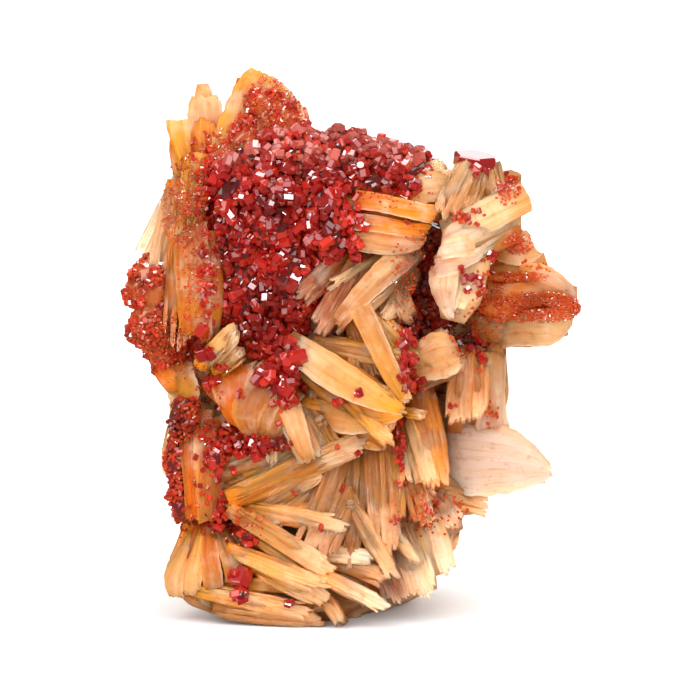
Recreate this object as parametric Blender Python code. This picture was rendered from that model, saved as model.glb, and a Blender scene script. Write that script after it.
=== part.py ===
"""Vanadinite on barite: a hand-sized mineral specimen.

A stone of cream and orange barite blades, cut flat where it rests, carries crusts of red vanadinite,
which are clumps of short hexagonal prisms. The specimen is drawn in its own axes, in millimetres: X to
the right of its show face, Y into the stone and Z up the face. It is then tipped back by LEAN, as it
rests, and cut off at the floor. The origin lies on that cut, under the middle of the show face.
"""

import math

import bmesh
import bpy
import numpy as np
from mathutils import Matrix, Vector
from mathutils.bvhtree import BVHTree

# Driving dimensions
HEIGHT = 100.0  # height of the specimen, in millimetres; the tables below are drawn 100 high
LEAN = 7.0  # how far the show face tips back, in degrees
GAP = 0.3  # air between a crust and the blades that it grows on, in millimetres
CRYSTAL = 3.0  # radius scale of a typical crystal of the crusts, in millimetres
CRYSTAL_TRIES = 14  # places tried for a crystal, for each square of its spacing
FLOOR = 2.0  # height, in the specimen's own axes, at which the flat cut meets the middle of the stone
SCALE = HEIGHT / 100.0 * 0.001  # metres for one unit of the tables
SEED = 11

# The stone behind the blades: height, left, right, front and back of each level, bottom to top.
STONE_LEVELS = [
    (-8, -24, 3, -9, 14),
    (1, -25, 5, -12, 18),
    (5, -27, 12, -14, 20),
    (10, -28, 16.5, -15, 22),
    (17, -29, 18.5, -15, 23),
    (24, -30, 22, -15, 24),
    (34, -31, 24, -15, 24),
    (46, -32, 25, -15, 24),
    (56, -36, 24, -15, 25),
    (64, -36, 22, -16, 24),
    (72, -33, 20, -17, 22),
    (80, -28, 15, -16, 18),
    (83.5, -25, 12, -15, 16),
    (86, -20, 3, -11, 12),
    (88, -15, -4, -5, 8),
]
STONE_SQUARENESS = 2.7  # exponent of the levels' outline: 2 is an ellipse, more is squarer
STONE_LUMP = 0.9  # how far the stone's broad lumps stand out
STONE_SIDES = 15
STONE_RINGS = 12

# A blade's rings from root to tip, as share of its length and of its width, and the corners of a ring.
BLADE_RINGS = [(0.0, 0.75), (0.6, 1.0), (1.0, 0.42)]
BLADE_SECTION = [(1, 0), (0, 1), (-1, 0), (-0.5, -1), (0.5, -1)]

# Blades of the show face. Each row: root x, y, z; tip x, y, z; width; depth; roll in degrees.
CENTRE_BLADES = [
    (-10.5, -19, 50.5, 9.8, -26, 38.4, 5.2, 7, 8),
    (1.5, -20, 57, 9.9, -24, 39.5, 4.4, 8, -6),
    (0.2, -17, 55, 4.5, -21, 42.5, 3.8, 8, 0),
    (-5, -16, 52.5, 3, -19, 43.5, 3.2, 6, 0),
    (3.8, -17, 66.5, -5.2, -20, 51.2, 5.4, 7, 10),
    (12, -18, 67, 0.6, -21, 56.2, 4.2, 6, -25),
    (7.2, -17, 62, 10.6, -20, 53.4, 2.8, 7, 0),
    (10.6, -15, 57, 5.9, -19, 50.4, 2.6, 7, 0),
    (2.6, -14, 57.4, 9.4, -16, 56.8, 1.8, 6, 0),
    (-8, -17, 39.4, 8.8, -23, 36.6, 4.6, 6, 30),
    (-6.2, -15, 49, -4.4, -18, 35.6, 6.0, 6, 0),
    (-11.4, -18, 38.8, -6.6, -22, 28.2, 4.4, 7, 0),
    (-6, -18, 38.2, -1.6, -21, 29.8, 2.4, 6, 0),
]
RIGHT_BLADES = [
    (9.6, -19, 45.6, 18.6, -22, 51.0, 6.2, 5, 15),
    (10.6, -19, 43.6, 20.4, -22, 48.0, 5.6, 5, 20),
    (12.4, -15, 43.5, 15.6, -19, 23.2, 6.4, 10, 0),
    (10.2, -17, 38, 14.4, -22, 24.4, 2.4, 7, 0),
    (20.6, -10, 49, 18.6, -16, 34.6, 3.6, 12, 0),
    (22.6, -8, 47.5, 22.8, -14, 35.4, 3.8, 12, 0),
    (18.6, -19, 43.4, 14.2, -21, 40.0, 1.6, 4, 0),
    (9.4, -20, 38.4, 13.4, -22, 37.6, 1.4, 4, 0),
    (26.2, -8, 50, 26.0, -10, 35.0, 4.6, 12, 0),
    (16.6, -8, 29.6, 36.3, -10, 26.8, 7.4, 12, 0),
    (18.0, -6, 38.0, 35.6, -8, 27.8, 7.0, 10, 0),
    (14.0, -10, 24.4, 24.8, -8, 21.2, 6.2, 12, 0),
    (9.0, -15, 27.4, 15.2, -18, 21.8, 3.0, 6, 0),
    (6.0, -8, 20.0, 22.6, -10, 19.6, 9.0, 14, 0),
    (4.0, -9, 12.4, 19.0, -11, 12.0, 9.6, 13, 0),
    (2.0, -10, 6.8, 14.6, -11, 6.0, 5.0, 12, 0),
]
LOWER_BLADES = [
    (-21.6, -18, 22.4, 3.0, -21, 33.2, 4.8, 7, 0),
    (-18.2, -17, 19.6, -4.4, -20, 28.0, 3.6, 7, 0),
    (-21.4, -19, 20.6, -2.6, -23, 9.4, 3.6, 8, 0),
    (-2.0, -17, 30.0, -9.4, -21, 12.4, 4.2, 7, 0),
    (0.2, -18, 24.0, -5.0, -21, 12.0, 3.8, 7, 0),
    (4.6, -16, 37.0, 6.4, -21, 12.0, 6.0, 7, 0),
    (7.6, -15, 36.0, 8.2, -19, 17.0, 3.2, 7, 0),
    (-0.8, -18, 23.0, 7.6, -22, 8.0, 3.0, 7, 0),
    (-3.6, -15, 13.2, 3.0, -17, 13.4, 1.8, 5, 0),
    (-4.4, -17, 11.6, 6.8, -20, 7.8, 2.8, 7, 0),
    (-21.4, -18, 13.8, -3.6, -23, 6.6, 2.8, 7, 0),
    (-17.6, -15, 9.2, -5.0, -19, 5.6, 2.6, 6, 0),
    (-29.0, -15, 6.8, -6.0, -20, 2.0, 2.8, 8, 0),
    (-9.0, -19, 10.8, 6.9, -22, 3.0, 3.2, 8, 0),
    (-11.8, -17, 0.8, -3.6, -19, 6.4, 2.6, 6, 0),
    (-6.0, -18, 7.0, -0.8, -21, 0.2, 2.6, 7, 0),
    (-24.0, -14, 3.0, -4.0, -17, 1.0, 3.6, 10, 0),
    (-1.8, -17, 27.6, 1.8, -19, 20.2, 1.8, 5, 0),
]
LOW_LEFT_BLADES = [
    (-27.4, -8, 18.0, -31.4, -12, 5.6, 5.6, 9, 0),
    (-26.4, -11, 17.4, -28.2, -15, 6.2, 4.2, 8, 0),
    (-25.0, -13, 17.0, -23.4, -17, 6.4, 4.4, 8, 0),
    (-23.6, -14, 17.0, -19.6, -17, 8.0, 4.2, 7, 0),
    (-28.2, -10, 5.0, -24.0, -13, 3.0, 3.4, 9, 0),
    (-28.6, -10, 41.0, -28.2, -14, 19.0, 3.8, 9, 0),
    (-26.0, -13, 38.0, -25.4, -16, 17.6, 4.4, 8, 0),
    (-33.6, -8, 46.4, -27.6, -15, 40.6, 5.4, 7, 15),
    (-23.8, -14, 45.0, -13.0, -19, 36.4, 9.6, 8, 0),
    (-18.0, -16, 36.8, -12.6, -20, 44.8, 3.6, 5, 10),
    (-26.8, -18, 46.2, -20.2, -23, 53.0, 3.4, 4, 20),
]
TOP_BLADES = [
    (-14.6, -8, 80.0, -16.6, -5, 99.8, 13.6, 7, 18),
    (-22.0, -4, 84.0, -19.4, -3, 96.6, 5.0, 5, 10),
    (-11.0, -7, 82.0, -9.0, -5, 94.0, 5.4, 6, 0),
    (-25.4, -9, 79.0, -25.6, -8, 92.0, 6.4, 6, 0),
    (-26.0, -4, 86.0, -26.2, -3, 97.0, 5.4, 4, 0),
    (-29.2, -6, 76.0, -31.0, -5, 91.2, 4.6, 5, 12),
    (-24.6, -10, 80.4, -20.0, -12, 86.4, 4.2, 8, 0),
]
LEFT_BLADES = [
    (-31.0, -4, 80.0, -37.4, -4, 63.4, 5.8, 12, 0),
    (-30.6, -9, 79.0, -33.4, -11, 60.0, 5.4, 9, 0),
    (-29.0, -12, 74.0, -29.8, -15, 49.0, 6.0, 8, 0),
    (-25.0, -15, 70.0, -25.2, -18, 49.0, 5.2, 7, 0),
    (-34.6, -8, 66.0, -33.6, -10, 50.0, 4.2, 9, 0),
]
PETAL_BLADES = [
    (8.0, -14, 76.0, 18.4, -16, 80.6, 7.0, 6, 10),
    (21.4, -17, 82.0, 16.4, -22, 72.0, 4.4, 6, 15),
    (23.4, -16, 81.0, 20.8, -21, 72.6, 2.8, 6, 0),
    (25.0, -14, 81.6, 26.6, -18, 73.4, 4.6, 7, 0),
    (28.6, -10, 80.0, 27.6, -14, 70.0, 5.0, 8, 0),
    (30.8, -16, 76.4, 16.2, -23, 69.6, 6.6, 7, -20),
    (29.0, -15, 70.6, 15.4, -24, 64.4, 6.6, 7, 10),
    (22.8, -17, 68.0, 17.8, -25, 54.2, 8.8, 7, 12),
]
ARM_BLADES = [
    (22.0, -8, 61.0, 35.4, -11, 65.4, 5.0, 12, 0),
    (22.0, -10, 58.8, 41.3, -14, 59.0, 5.4, 13, 0),
    (22.6, -8, 53.0, 39.6, -11, 53.6, 7.8, 13, 0),
    (26.4, -8, 65.0, 32.0, -10, 70.0, 2.8, 8, 0),
]
PLATE_BLADES = [
    (-2.0, -16, 75.4, 16.2, -20, 73.0, 4.6, 7, 25),
    (-2.0, -16, 70.6, 14.2, -20, 69.8, 3.6, 7, 20),
    (-1.0, -15, 66.6, 12.8, -19, 67.2, 2.8, 7, 10),
    (-1.0, -12, 79.6, 14.0, -15, 79.8, 5.2, 7, 30),
]
FRONT_BLADES = (
    CENTRE_BLADES
    + RIGHT_BLADES
    + LOWER_BLADES
    + LOW_LEFT_BLADES
    + TOP_BLADES
    + LEFT_BLADES
    + PETAL_BLADES
    + ARM_BLADES
    + PLATE_BLADES
)

# Blades that lie on the sides and the back. Each row: angle round the stone in degrees (90 is straight
# back) and height of the root, then the same of the tip.
BACK_BLADES = [
    (24, 60, 52, 44),
    (30, 38, 50, 56),
    (34, 12, 58, 26),
    (36, 68, 62, 58),
    (58, 40, 84, 52),
    (60, 54, 70, 78),
    (66, 34, 92, 24),
    (60, 12, 84, 20),
    (78, 66, 104, 56),
    (84, 78, 106, 68),
    (92, 44, 112, 62),
    (92, 14, 112, 8),
    (112, 44, 138, 34),
    (116, 70, 132, 52),
    (124, 18, 148, 30),
    (128, 62, 152, 72),
    (140, 46, 160, 60),
    (150, 40, 172, 26),
]
BACK_BLADE = (8.4, 8.0)  # width and depth of one of them
BACK_STAND = (-1.5, 1.8)  # how far its root and its tip stand out of the stone

# Crusts. Each patch: x, z, half width, half height, and how far its hump stands out of the show face.
MAIN_PATCHES = [
    (-21.5, 78.5, 5.6, 6.0, 3.2),
    (-20.5, 69.0, 5.0, 8.0, 3.8),
    (-19.0, 59.0, 5.6, 8.0, 3.6),
    (-15.0, 52.4, 6.4, 5.0, 3.4),
    (-13.0, 73.5, 6.4, 8.0, 5.0),
    (-10.5, 62.0, 6.4, 8.4, 5.4),
    (-10.0, 83.0, 7.0, 6.0, 4.6),
    (-4.2, 72.0, 5.4, 8.4, 5.2),
    (-1.5, 83.4, 6.0, 4.6, 5.0),
    (4.4, 82.4, 5.0, 4.4, 5.0),
    (9.8, 81.2, 5.0, 3.8, 5.0),
    (-14.0, 90.0, 4.2, 4.6, 2.2),
]
LEFT_PATCHES = [
    (-35.4, 60.0, 4.6, 5.4, 6.0),
    (-34.8, 53.4, 4.6, 5.6, 6.0),
    (-32.6, 48.6, 4.0, 3.6, 5.0),
]
EDGE_PATCHES = [
    (-30.6, 36.4, 3.0, 4.6, 4.0),
    (-30.2, 29.0, 2.8, 6.0, 4.0),
    (-29.4, 22.0, 2.6, 4.0, 4.0),
]
CLEFT_PATCHES = [
    (13.6, 68.0, 3.4, 4.4, 4.0),
    (12.4, 62.0, 4.6, 5.0, 4.0),
    (13.6, 55.6, 4.6, 4.4, 4.0),
]
ARM_PATCHES = [
    (31.4, 60.6, 5.4, 3.2, 4.6),
    (35.0, 56.8, 6.0, 3.0, 4.6),
    (27.0, 57.6, 5.4, 4.4, 4.6),
]
BOSS_PATCHES = [
    (-22.8, 33.4, 3.2, 2.6, 3.8),
    (-18.6, 31.6, 3.6, 2.4, 3.8),
    (-14.2, 31.6, 3.2, 2.2, 3.8),
    (-24.2, 28.8, 2.4, 3.4, 3.4),
]
ROOT_PATCHES = [
    (-22.0, 19.6, 3.2, 2.6, 3.4),
    (-18.6, 17.0, 3.4, 2.4, 3.4),
]
FOOT_PATCHES = [
    (-19.5, 8.5, 2.2, 2.2, 2.0),
    (-19.3, 5.4, 1.9, 1.7, 2.0),
]
MIDDLE_PATCHES = [
    (-9.6, 47.0, 2.2, 2.2, 2.2),
    (-11.8, 42.0, 2.4, 2.6, 2.2),
    (-14.4, 44.4, 2.0, 1.8, 2.0),
]

# The crusts: name, patches, and the space between crystals.
CRUSTS = [
    ("vanadinite_main_crust", MAIN_PATCHES, 4.8),
    ("vanadinite_left_crust", LEFT_PATCHES, 4.2),
    ("vanadinite_edge_band", EDGE_PATCHES, 3.8),
    ("vanadinite_cleft_crust", CLEFT_PATCHES, 4.2),
    ("vanadinite_arm_crust", ARM_PATCHES, 4.6),
    ("vanadinite_boss_crust", BOSS_PATCHES, 3.8),
    ("vanadinite_root_cluster", ROOT_PATCHES, 3.6),
    ("vanadinite_foot_cluster", FOOT_PATCHES, 3.4),
    ("vanadinite_middle_cluster", MIDDLE_PATCHES, 3.4),
]

# The big tablet on the right crown: middle, the way it faces, half width, thickness and turn in degrees.
CROWN_TABLET = ((22.2, -16.0, 82.7), (0.12, -0.25, 1.0), 3.9, 2.6, 12)


def levels_at(height):
    """Left, right, front and back of the stone at these heights, read smoothly between the levels."""
    rows = np.array(STONE_LEVELS, float)
    step = np.clip(np.searchsorted(rows[:, 0], height) - 1, 0, len(rows) - 2)
    share = np.clip((height - rows[step, 0]) / (rows[step + 1, 0] - rows[step, 0]), 0, 1)
    share = (share * share * (3 - 2 * share))[..., None]
    return np.moveaxis(rows[step, 1:] * (1 - share) + rows[step + 1, 1:] * share, -1, 0)


def stone_point(angle, height, proud=0.0):
    """The stone's surface at an angle in radians (0 is +X, 90 degrees is straight back) and a height."""
    angle, height = np.broadcast_arrays(np.asarray(angle, float), np.asarray(height, float))
    left, right, front, back = levels_at(height)
    power = 2 / STONE_SQUARENESS
    across = np.sign(np.cos(angle)) * np.abs(np.cos(angle)) ** power
    deep = np.sign(np.sin(angle)) * np.abs(np.sin(angle)) ** power
    lump = STONE_LUMP * (
        np.sin(3 * angle + height / 7) + 0.6 * np.sin(5 * angle - height / 4.3 + 1) - 0.5
    )
    half_width = (right - left) / 2 + lump + proud
    half_depth = (back - front) / 2 + lump + proud
    x = (left + right) / 2 + half_width * across
    y = (front + back) / 2 + half_depth * deep
    return np.stack([x, y, height], axis=-1)


def mesh_object(name, points, faces):
    """A closed mesh object in the specimen's own axes, its faces turned outwards."""
    mesh = bpy.data.meshes.new(name)
    mesh.from_pydata([tuple(point) for point in points], [], faces)
    shape = bmesh.new()
    shape.from_mesh(mesh)
    bmesh.ops.recalc_face_normals(shape, faces=shape.faces)
    shape.to_mesh(mesh)
    shape.free()
    obj = bpy.data.objects.new(name, mesh)
    bpy.context.scene.collection.objects.link(obj)
    return obj


def tube_faces(rings, around):
    """Faces between rings of points, and a cap on the first and the last."""
    faces = [list(range(around)), list(range((rings - 1) * around, rings * around))]
    for ring in range(rings - 1):
        for side in range(around):
            here, there = ring * around + side, ring * around + (side + 1) % around
            faces.append([here, there, there + around, here + around])
    return faces


def stone(proud=0.0):
    """The stone behind the blades: its levels joined up, proud by this much all over."""
    angles = np.linspace(0, 2 * math.pi, STONE_SIDES, endpoint=False)
    heights = np.linspace(STONE_LEVELS[0][0], STONE_LEVELS[-1][0], STONE_RINGS)
    points = stone_point(angles[None, :], heights[:, None], proud)
    points[0, :, 2] -= proud
    points[-1, :, 2] += proud
    faces = []
    for face in tube_faces(STONE_RINGS, STONE_SIDES):
        # A side's four corners aren't level, so it is always split along the same diagonal.
        faces += [face] if len(face) > 4 else [face[:3], [face[0], face[2], face[3]]]
    return mesh_object("stone", points.reshape(-1, 3), faces)


def blade(root, tip, width, depth, roll, proud=0.0, facing=(0, -1, 0)):
    """A flat five-sided blade that swells from its root and narrows to its tip."""
    root, tip = Vector(root), Vector(tip)
    axis = (tip - root).normalized()
    across = axis.cross(Vector(facing)).normalized()
    across.rotate(Matrix.Rotation(math.radians(roll), 3, axis))
    deep = axis.cross(across)
    root, tip = root - axis * proud, tip + axis * proud
    points = []
    for share, swell in BLADE_RINGS:
        centre = root.lerp(tip, share)
        half_width, half_depth = width / 2 * swell + proud, depth / 2 * swell + proud
        for side, front in BLADE_SECTION:
            points.append(centre + across * (side * half_width) + deep * (front * half_depth))
    return mesh_object("blade", points, tube_faces(len(BLADE_RINGS), len(BLADE_SECTION)))


def back_blade(row, proud):
    """A blade that lies on the side or the back of the stone, its tip a little proud."""
    root_turn, root_height, tip_turn, tip_height = row
    root = stone_point(math.radians(root_turn), root_height, BACK_STAND[0])
    tip = stone_point(math.radians(tip_turn), tip_height, BACK_STAND[1])
    middle = math.radians((root_turn + tip_turn) / 2)
    facing = (math.cos(middle), math.sin(middle), 0)
    return blade(root, tip, *BACK_BLADE, 0, proud, facing)


def hex_crystal(place, axis, radius, length, turn):
    """A hexagonal prism whose middle is at this place."""
    axis = Vector(axis).normalized()
    side = axis.orthogonal().normalized()
    side.rotate(Matrix.Rotation(turn, 3, axis))
    other = axis.cross(side)
    points = []
    for end in (-0.5, 0.5):
        for corner in range(6):
            angle = math.radians(60 * corner)
            spoke = side * math.cos(angle) + other * math.sin(angle)
            points.append(Vector(place) + axis * (end * length) + spoke * radius)
    return mesh_object("crystal", points, tube_faces(2, 6))


def lump(place, half_size):
    """An ellipsoid of twenty faces, which fills a crust behind its crystals."""
    mesh = bpy.data.meshes.new("lump")
    shape = bmesh.new()
    bmesh.ops.create_icosphere(shape, subdivisions=1, radius=1.0)
    bmesh.ops.scale(shape, vec=half_size, verts=shape.verts)
    bmesh.ops.translate(shape, vec=place, verts=shape.verts)
    shape.to_mesh(mesh)
    shape.free()
    obj = bpy.data.objects.new("lump", mesh)
    bpy.context.scene.collection.objects.link(obj)
    return obj


def combine(first, others, operation):
    """The first object's mesh, joined with or cut by all the others, which are used up."""
    group = bpy.data.collections.new("operands")
    bpy.context.scene.collection.children.link(group)
    for other in others:
        bpy.context.scene.collection.objects.unlink(other)
        group.objects.link(other)
    boolean = first.modifiers.new("combine", "BOOLEAN")
    boolean.operation = operation
    boolean.operand_type = "COLLECTION"
    boolean.collection = group
    boolean.solver = "EXACT"
    bpy.context.view_layer.update()
    graph = bpy.context.evaluated_depsgraph_get()
    mesh = bpy.data.meshes.new_from_object(first.evaluated_get(graph))
    first.modifiers.clear()
    first.data = mesh
    for other in others:
        bpy.data.objects.remove(other)
    bpy.data.collections.remove(group)
    return first


def largest_piece(obj):
    """Leaves only the biggest connected piece of the mesh."""
    shape = bmesh.new()
    shape.from_mesh(obj.data)
    left = set(shape.verts)
    pieces = []
    while left:
        piece, edge = set(), [left.pop()]
        while edge:
            vert = edge.pop()
            piece.add(vert)
            for link in vert.link_edges:
                other = link.other_vert(vert)
                if other in left:
                    left.remove(other)
                    edge.append(other)
        pieces.append(piece)
    pieces.sort(key=len)
    bmesh.ops.delete(shape, geom=[vert for piece in pieces[:-1] for vert in piece], context="VERTS")
    shape.to_mesh(obj.data)
    shape.free()
    return obj


def face_at(tree, x, z):
    """Where a line into the show face at x, z meets the surface, and the way that surface faces."""
    hit, normal, _, _ = tree.ray_cast(Vector((x, -90, z)), Vector((0, 1, 0)))
    if hit is None:
        return Vector((x, stone_front(x, z), z)), Vector((0, -1, 0))
    return hit, normal


def stone_front(x, z):
    """Depth of the stone's show face at x, z."""
    angles = np.linspace(math.pi, 2 * math.pi, 181)
    points = stone_point(angles, z)
    return float(np.interp(x, points[:, 0], points[:, 1]))


def surface_tree(objects):
    """The surface of these objects, for casting lines at."""
    shape = bmesh.new()
    for obj in objects:
        shape.from_mesh(obj.data)
    tree = BVHTree.FromBMesh(shape)
    shape.free()
    return tree


def crust(name, matrix_surface, patches, spacing, random):
    """A crust: lumps on the show face, and crystals all over them that stand up from them."""
    lumps = []
    for x, z, half_width, half_height, proud in patches:
        hit, _ = face_at(matrix_surface, x, z)
        lumps.append(lump(hit, (half_width, proud, half_height)))
    skin = surface_tree(lumps)
    crystals = []
    taken = []
    for x, z, half_width, half_height, proud in patches:
        for _ in range(int(CRYSTAL_TRIES * half_width * half_height / spacing**2)):
            angle, reach = random.uniform(0, 2 * math.pi), math.sqrt(random.uniform(0, 1.1))
            spot_x = x + half_width * reach * math.cos(angle)
            spot_z = z + half_height * reach * math.sin(angle)
            hit, normal, _, _ = skin.ray_cast(Vector((spot_x, -90, spot_z)), Vector((0, 1, 0)))
            if hit is None or any((hit - other).length < spacing for other in taken):
                continue
            taken.append(hit)
            axis = normal + Vector(random.uniform(-0.8, 0.8, 3))
            radius = CRYSTAL * random.uniform(0.42, 0.72)
            length = radius * random.uniform(1.2, 2.2)
            crystals.append(hex_crystal(hit, axis, radius, length, random.uniform(0, 1)))
    obj = combine(lumps[0], lumps[1:] + crystals, "UNION")
    obj.name = name
    return obj


def matrix_shapes(proud=0.0):
    """Everything that the matrix is joined from: the stone first, then every blade."""
    blades = [blade(row[0:3], row[3:6], *row[6:9], proud) for row in FRONT_BLADES]
    blades += [back_blade(row, proud) for row in BACK_BLADES]
    return stone(proud), blades


def settle(obj, material):
    """Tips the node back as the specimen rests, scales it to metres and gives it its material."""
    lean = Matrix.Rotation(-math.radians(LEAN), 4, "X")
    lift = Matrix.Translation((0, 0, -FLOOR * math.cos(math.radians(LEAN))))
    obj.data.transform(Matrix.Scale(SCALE, 4) @ lift @ lean)
    obj.data.materials.clear()
    obj.data.materials.append(material)


def cut_at_floor(obj):
    """Cuts the settled node off flat at z = 0."""
    below = 0.05
    corners = [(x, y, z) for x in (-0.2, 0.2) for y in (-0.2, 0.2) for z in (-below, 0.0)]
    faces = [(0, 1, 3, 2), (4, 5, 7, 6), (0, 1, 5, 4), (2, 3, 7, 6), (0, 2, 6, 4), (1, 3, 7, 5)]
    combine(obj, [mesh_object("floor", corners, faces)], "DIFFERENCE")


def plain_material(name, colour, roughness):
    """A Principled material of one colour."""
    material = bpy.data.materials.new(name)
    material.use_nodes = True
    surface = material.node_tree.nodes["Principled BSDF"]
    surface.inputs["Base Color"].default_value = (*colour, 1.0)
    surface.inputs["Roughness"].default_value = roughness
    surface.inputs["Metallic"].default_value = 0.0
    return material


def main():
    for old in list(bpy.data.objects):
        bpy.data.objects.remove(old)
    barite = plain_material("barite", (0.80, 0.52, 0.28), 0.55)
    vanadinite = plain_material("vanadinite", (0.36, 0.02, 0.01), 0.25)

    core, blades = matrix_shapes()
    matrix = combine(core, blades, "UNION")
    matrix.name = "barite_matrix"
    surface = surface_tree([matrix])

    crusts = []
    for number, (name, patches, spacing) in enumerate(CRUSTS):
        random = np.random.default_rng(SEED + number)
        crusts.append(crust(name, surface, patches, spacing, random))
    place, axis, radius, length, turn = CROWN_TABLET
    tablet = hex_crystal(place, axis, radius, length, math.radians(turn))
    tablet.name = "vanadinite_crown_tablet"
    crusts.append(tablet)
    for node in crusts:
        core, blades = matrix_shapes(GAP)
        combine(node, [core] + blades, "DIFFERENCE")
        largest_piece(node)
        settle(node, vanadinite)
    settle(matrix, barite)
    cut_at_floor(matrix)


main()
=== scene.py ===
"""Vanadinite on barite, dressed: sheaves of thin barite blades and crusts of small red crystals.

Everything is drawn in the specimen's own axes, in millimetres (X right, Y into the stone, Z up the show
face), and settle() carries it to the frame: tipped back by LEAN, lowered to the floor, in metres.
"""

import math

import bpy
import numpy as np
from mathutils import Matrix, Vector
from mathutils.bvhtree import BVHTree


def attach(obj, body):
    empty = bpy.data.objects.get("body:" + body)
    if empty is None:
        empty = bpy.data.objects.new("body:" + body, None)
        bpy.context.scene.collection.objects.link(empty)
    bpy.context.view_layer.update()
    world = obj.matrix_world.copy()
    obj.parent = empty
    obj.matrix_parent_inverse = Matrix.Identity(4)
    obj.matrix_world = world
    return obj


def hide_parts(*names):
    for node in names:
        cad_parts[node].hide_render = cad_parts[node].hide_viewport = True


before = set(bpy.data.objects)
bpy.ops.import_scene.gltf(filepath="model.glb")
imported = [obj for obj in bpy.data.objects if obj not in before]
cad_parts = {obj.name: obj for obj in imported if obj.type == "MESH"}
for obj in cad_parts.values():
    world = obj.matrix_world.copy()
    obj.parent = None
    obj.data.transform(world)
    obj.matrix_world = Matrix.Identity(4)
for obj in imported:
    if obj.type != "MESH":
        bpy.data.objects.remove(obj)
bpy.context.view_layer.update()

HEIGHT = 100.0  # height of the specimen, in millimetres; the tables below are drawn 100 high
LEAN = math.radians(7.0)  # how far the show face tips back
FLOOR = 2.0  # height, in the specimen's own axes, at which the flat cut meets the middle of the stone
SCALE = HEIGHT / 100.0 * 0.001  # metres for one unit of the tables
WEDGE_ROOT = 18.0  # right of this x, a small sheaf lies behind the wedge
BEHIND_WEDGE = 9.0  # how much deeper it is set there, in millimetres
BEVELLED_FROM = 0.62  # radius, in millimetres, from which a crystal's edges are bevelled
BLADE_PITCH = 0.7  # from one blade in the body of a sheaf to the next, in millimetres
LATHS_A_MM = 2.3  # single blades that stand out of a sheaf, for each millimetre of its width
FRONT = (0, -1, 0)  # the way the show face looks
FACE_ENDS = -12.0  # behind this y there is no show face, in millimetres
BEVEL = 0.09  # bevel of a crystal, as a share of its radius and of its length
THIN_CRUST = 3.0  # a patch that stands out less than this, in millimetres, is a thin one
TRIES = 5.0  # crystals tried for each square of a crust as wide as the space between crystals
DUST_RADIUS = 0.26  # radius of the largest crystals of dust, before they vary

SEED = 7
FRAME_WIDTH = 0.126  # metres that the picture is wide, at the middle of the specimen
MIDDLE_HEIGHT = 49.0  # height on the show face that the camera looks at
CAMERA_LIFT = 7.0  # degrees above the horizon
CAMERA_DISTANCE = 2.0  # metres
FLOOR_HALF = 3.0  # half the width of the floor, in metres
LIGHT_AIM = (0.0, 0.0, 0.05)  # where all the lights point, in metres
ROOM_LIGHT = 0.82  # how bright the room is beside the lights
ROOM_MIRRORED = 0.1  # how bright it looks in a glossy face

# Square lights: name, place and width in metres, power in watts, and whether glossy faces mirror it.
LIGHTS = [
    ("key", (-1.0, -1.5, 1.9), 0.7, 10.0, True),
    ("front_panel", (-0.2, -2.4, 0.9), 1.7, 19.0, False),
    ("left_panel", (-1.9, -1.3, 1.3), 2.2, 18.0, True),
    ("top_panel", (0.2, 0.3, 2.4), 1.2, 22.0, True),
    ("right_panel", (2.0, -1.2, 1.0), 1.7, 10.0, False),
    ("high_panel", (1.2, -1.6, 2.3), 2.2, 16.0, True),
    ("back_panel", (0.6, 2.2, 1.2), 1.4, 14.0, True),
    ("spark", (0.9, -1.7, 1.3), 0.3, 3.0, True),
]

# Tints of the barite, as sRGB.
TINTS = {
    "white": "#ECD6BA",
    "shell": "#D0B09A",
    "cream": "#D2A272",
    "peach": "#B27640",
    "tan": "#A86630",
    "gold": "#D08424",
    "amber": "#E08E18",
    "orange": "#BC5A10",
    "brown": "#964C18",
    "rust": "#84300E",
    "ember": "#C24E16",
}

# Places where iron has stained the blades: x, z, half width, half height, tint and strength.
STAINS = [
    (33.0, 57.0, 8.5, 2.2, "ember", 0.9),
    (29.0, 61.8, 6.0, 0.8, "ember", 0.6),
    (29.6, 69.4, 2.2, 1.6, "ember", 0.6),
    (-15.0, 91.0, 5.0, 5.0, "ember", 0.8),
    (-25.0, 64.0, 2.4, 10.0, "ember", 0.5),
    (8.0, 6.5, 3.0, 2.5, "rust", 0.7),
    (-29.0, 74.0, 4.0, 8.0, "brown", 0.6),
    (-28.0, 60.0, 3.5, 10.0, "gold", 0.5),
    (-15.0, 68.0, 14.0, 20.0, "rust", 0.7),
    (12.0, 62.0, 5.0, 12.0, "rust", 0.7),
    (22.0, 44.0, 3.0, 3.0, "orange", 0.6),
    (25.3, 38.0, 2.0, 3.0, "orange", 0.7),
    (11.0, 19.0, 3.0, 3.0, "orange", 0.6),
    (15.0, 21.5, 3.0, 2.0, "orange", 0.6),
    (-38.0, 61.0, 2.0, 3.0, "brown", 0.7),
    (-28.0, 36.0, 4.0, 4.0, "rust", 0.7),
    (32.0, 59.0, 10.0, 3.5, "orange", 0.7),
    (20.0, 50.0, 3.0, 2.5, "rust", 0.7),
    (-18.5, 33.0, 7.0, 2.5, "rust", 0.5),
    (-21.0, 19.0, 5.0, 3.0, "rust", 0.5),
]

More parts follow.
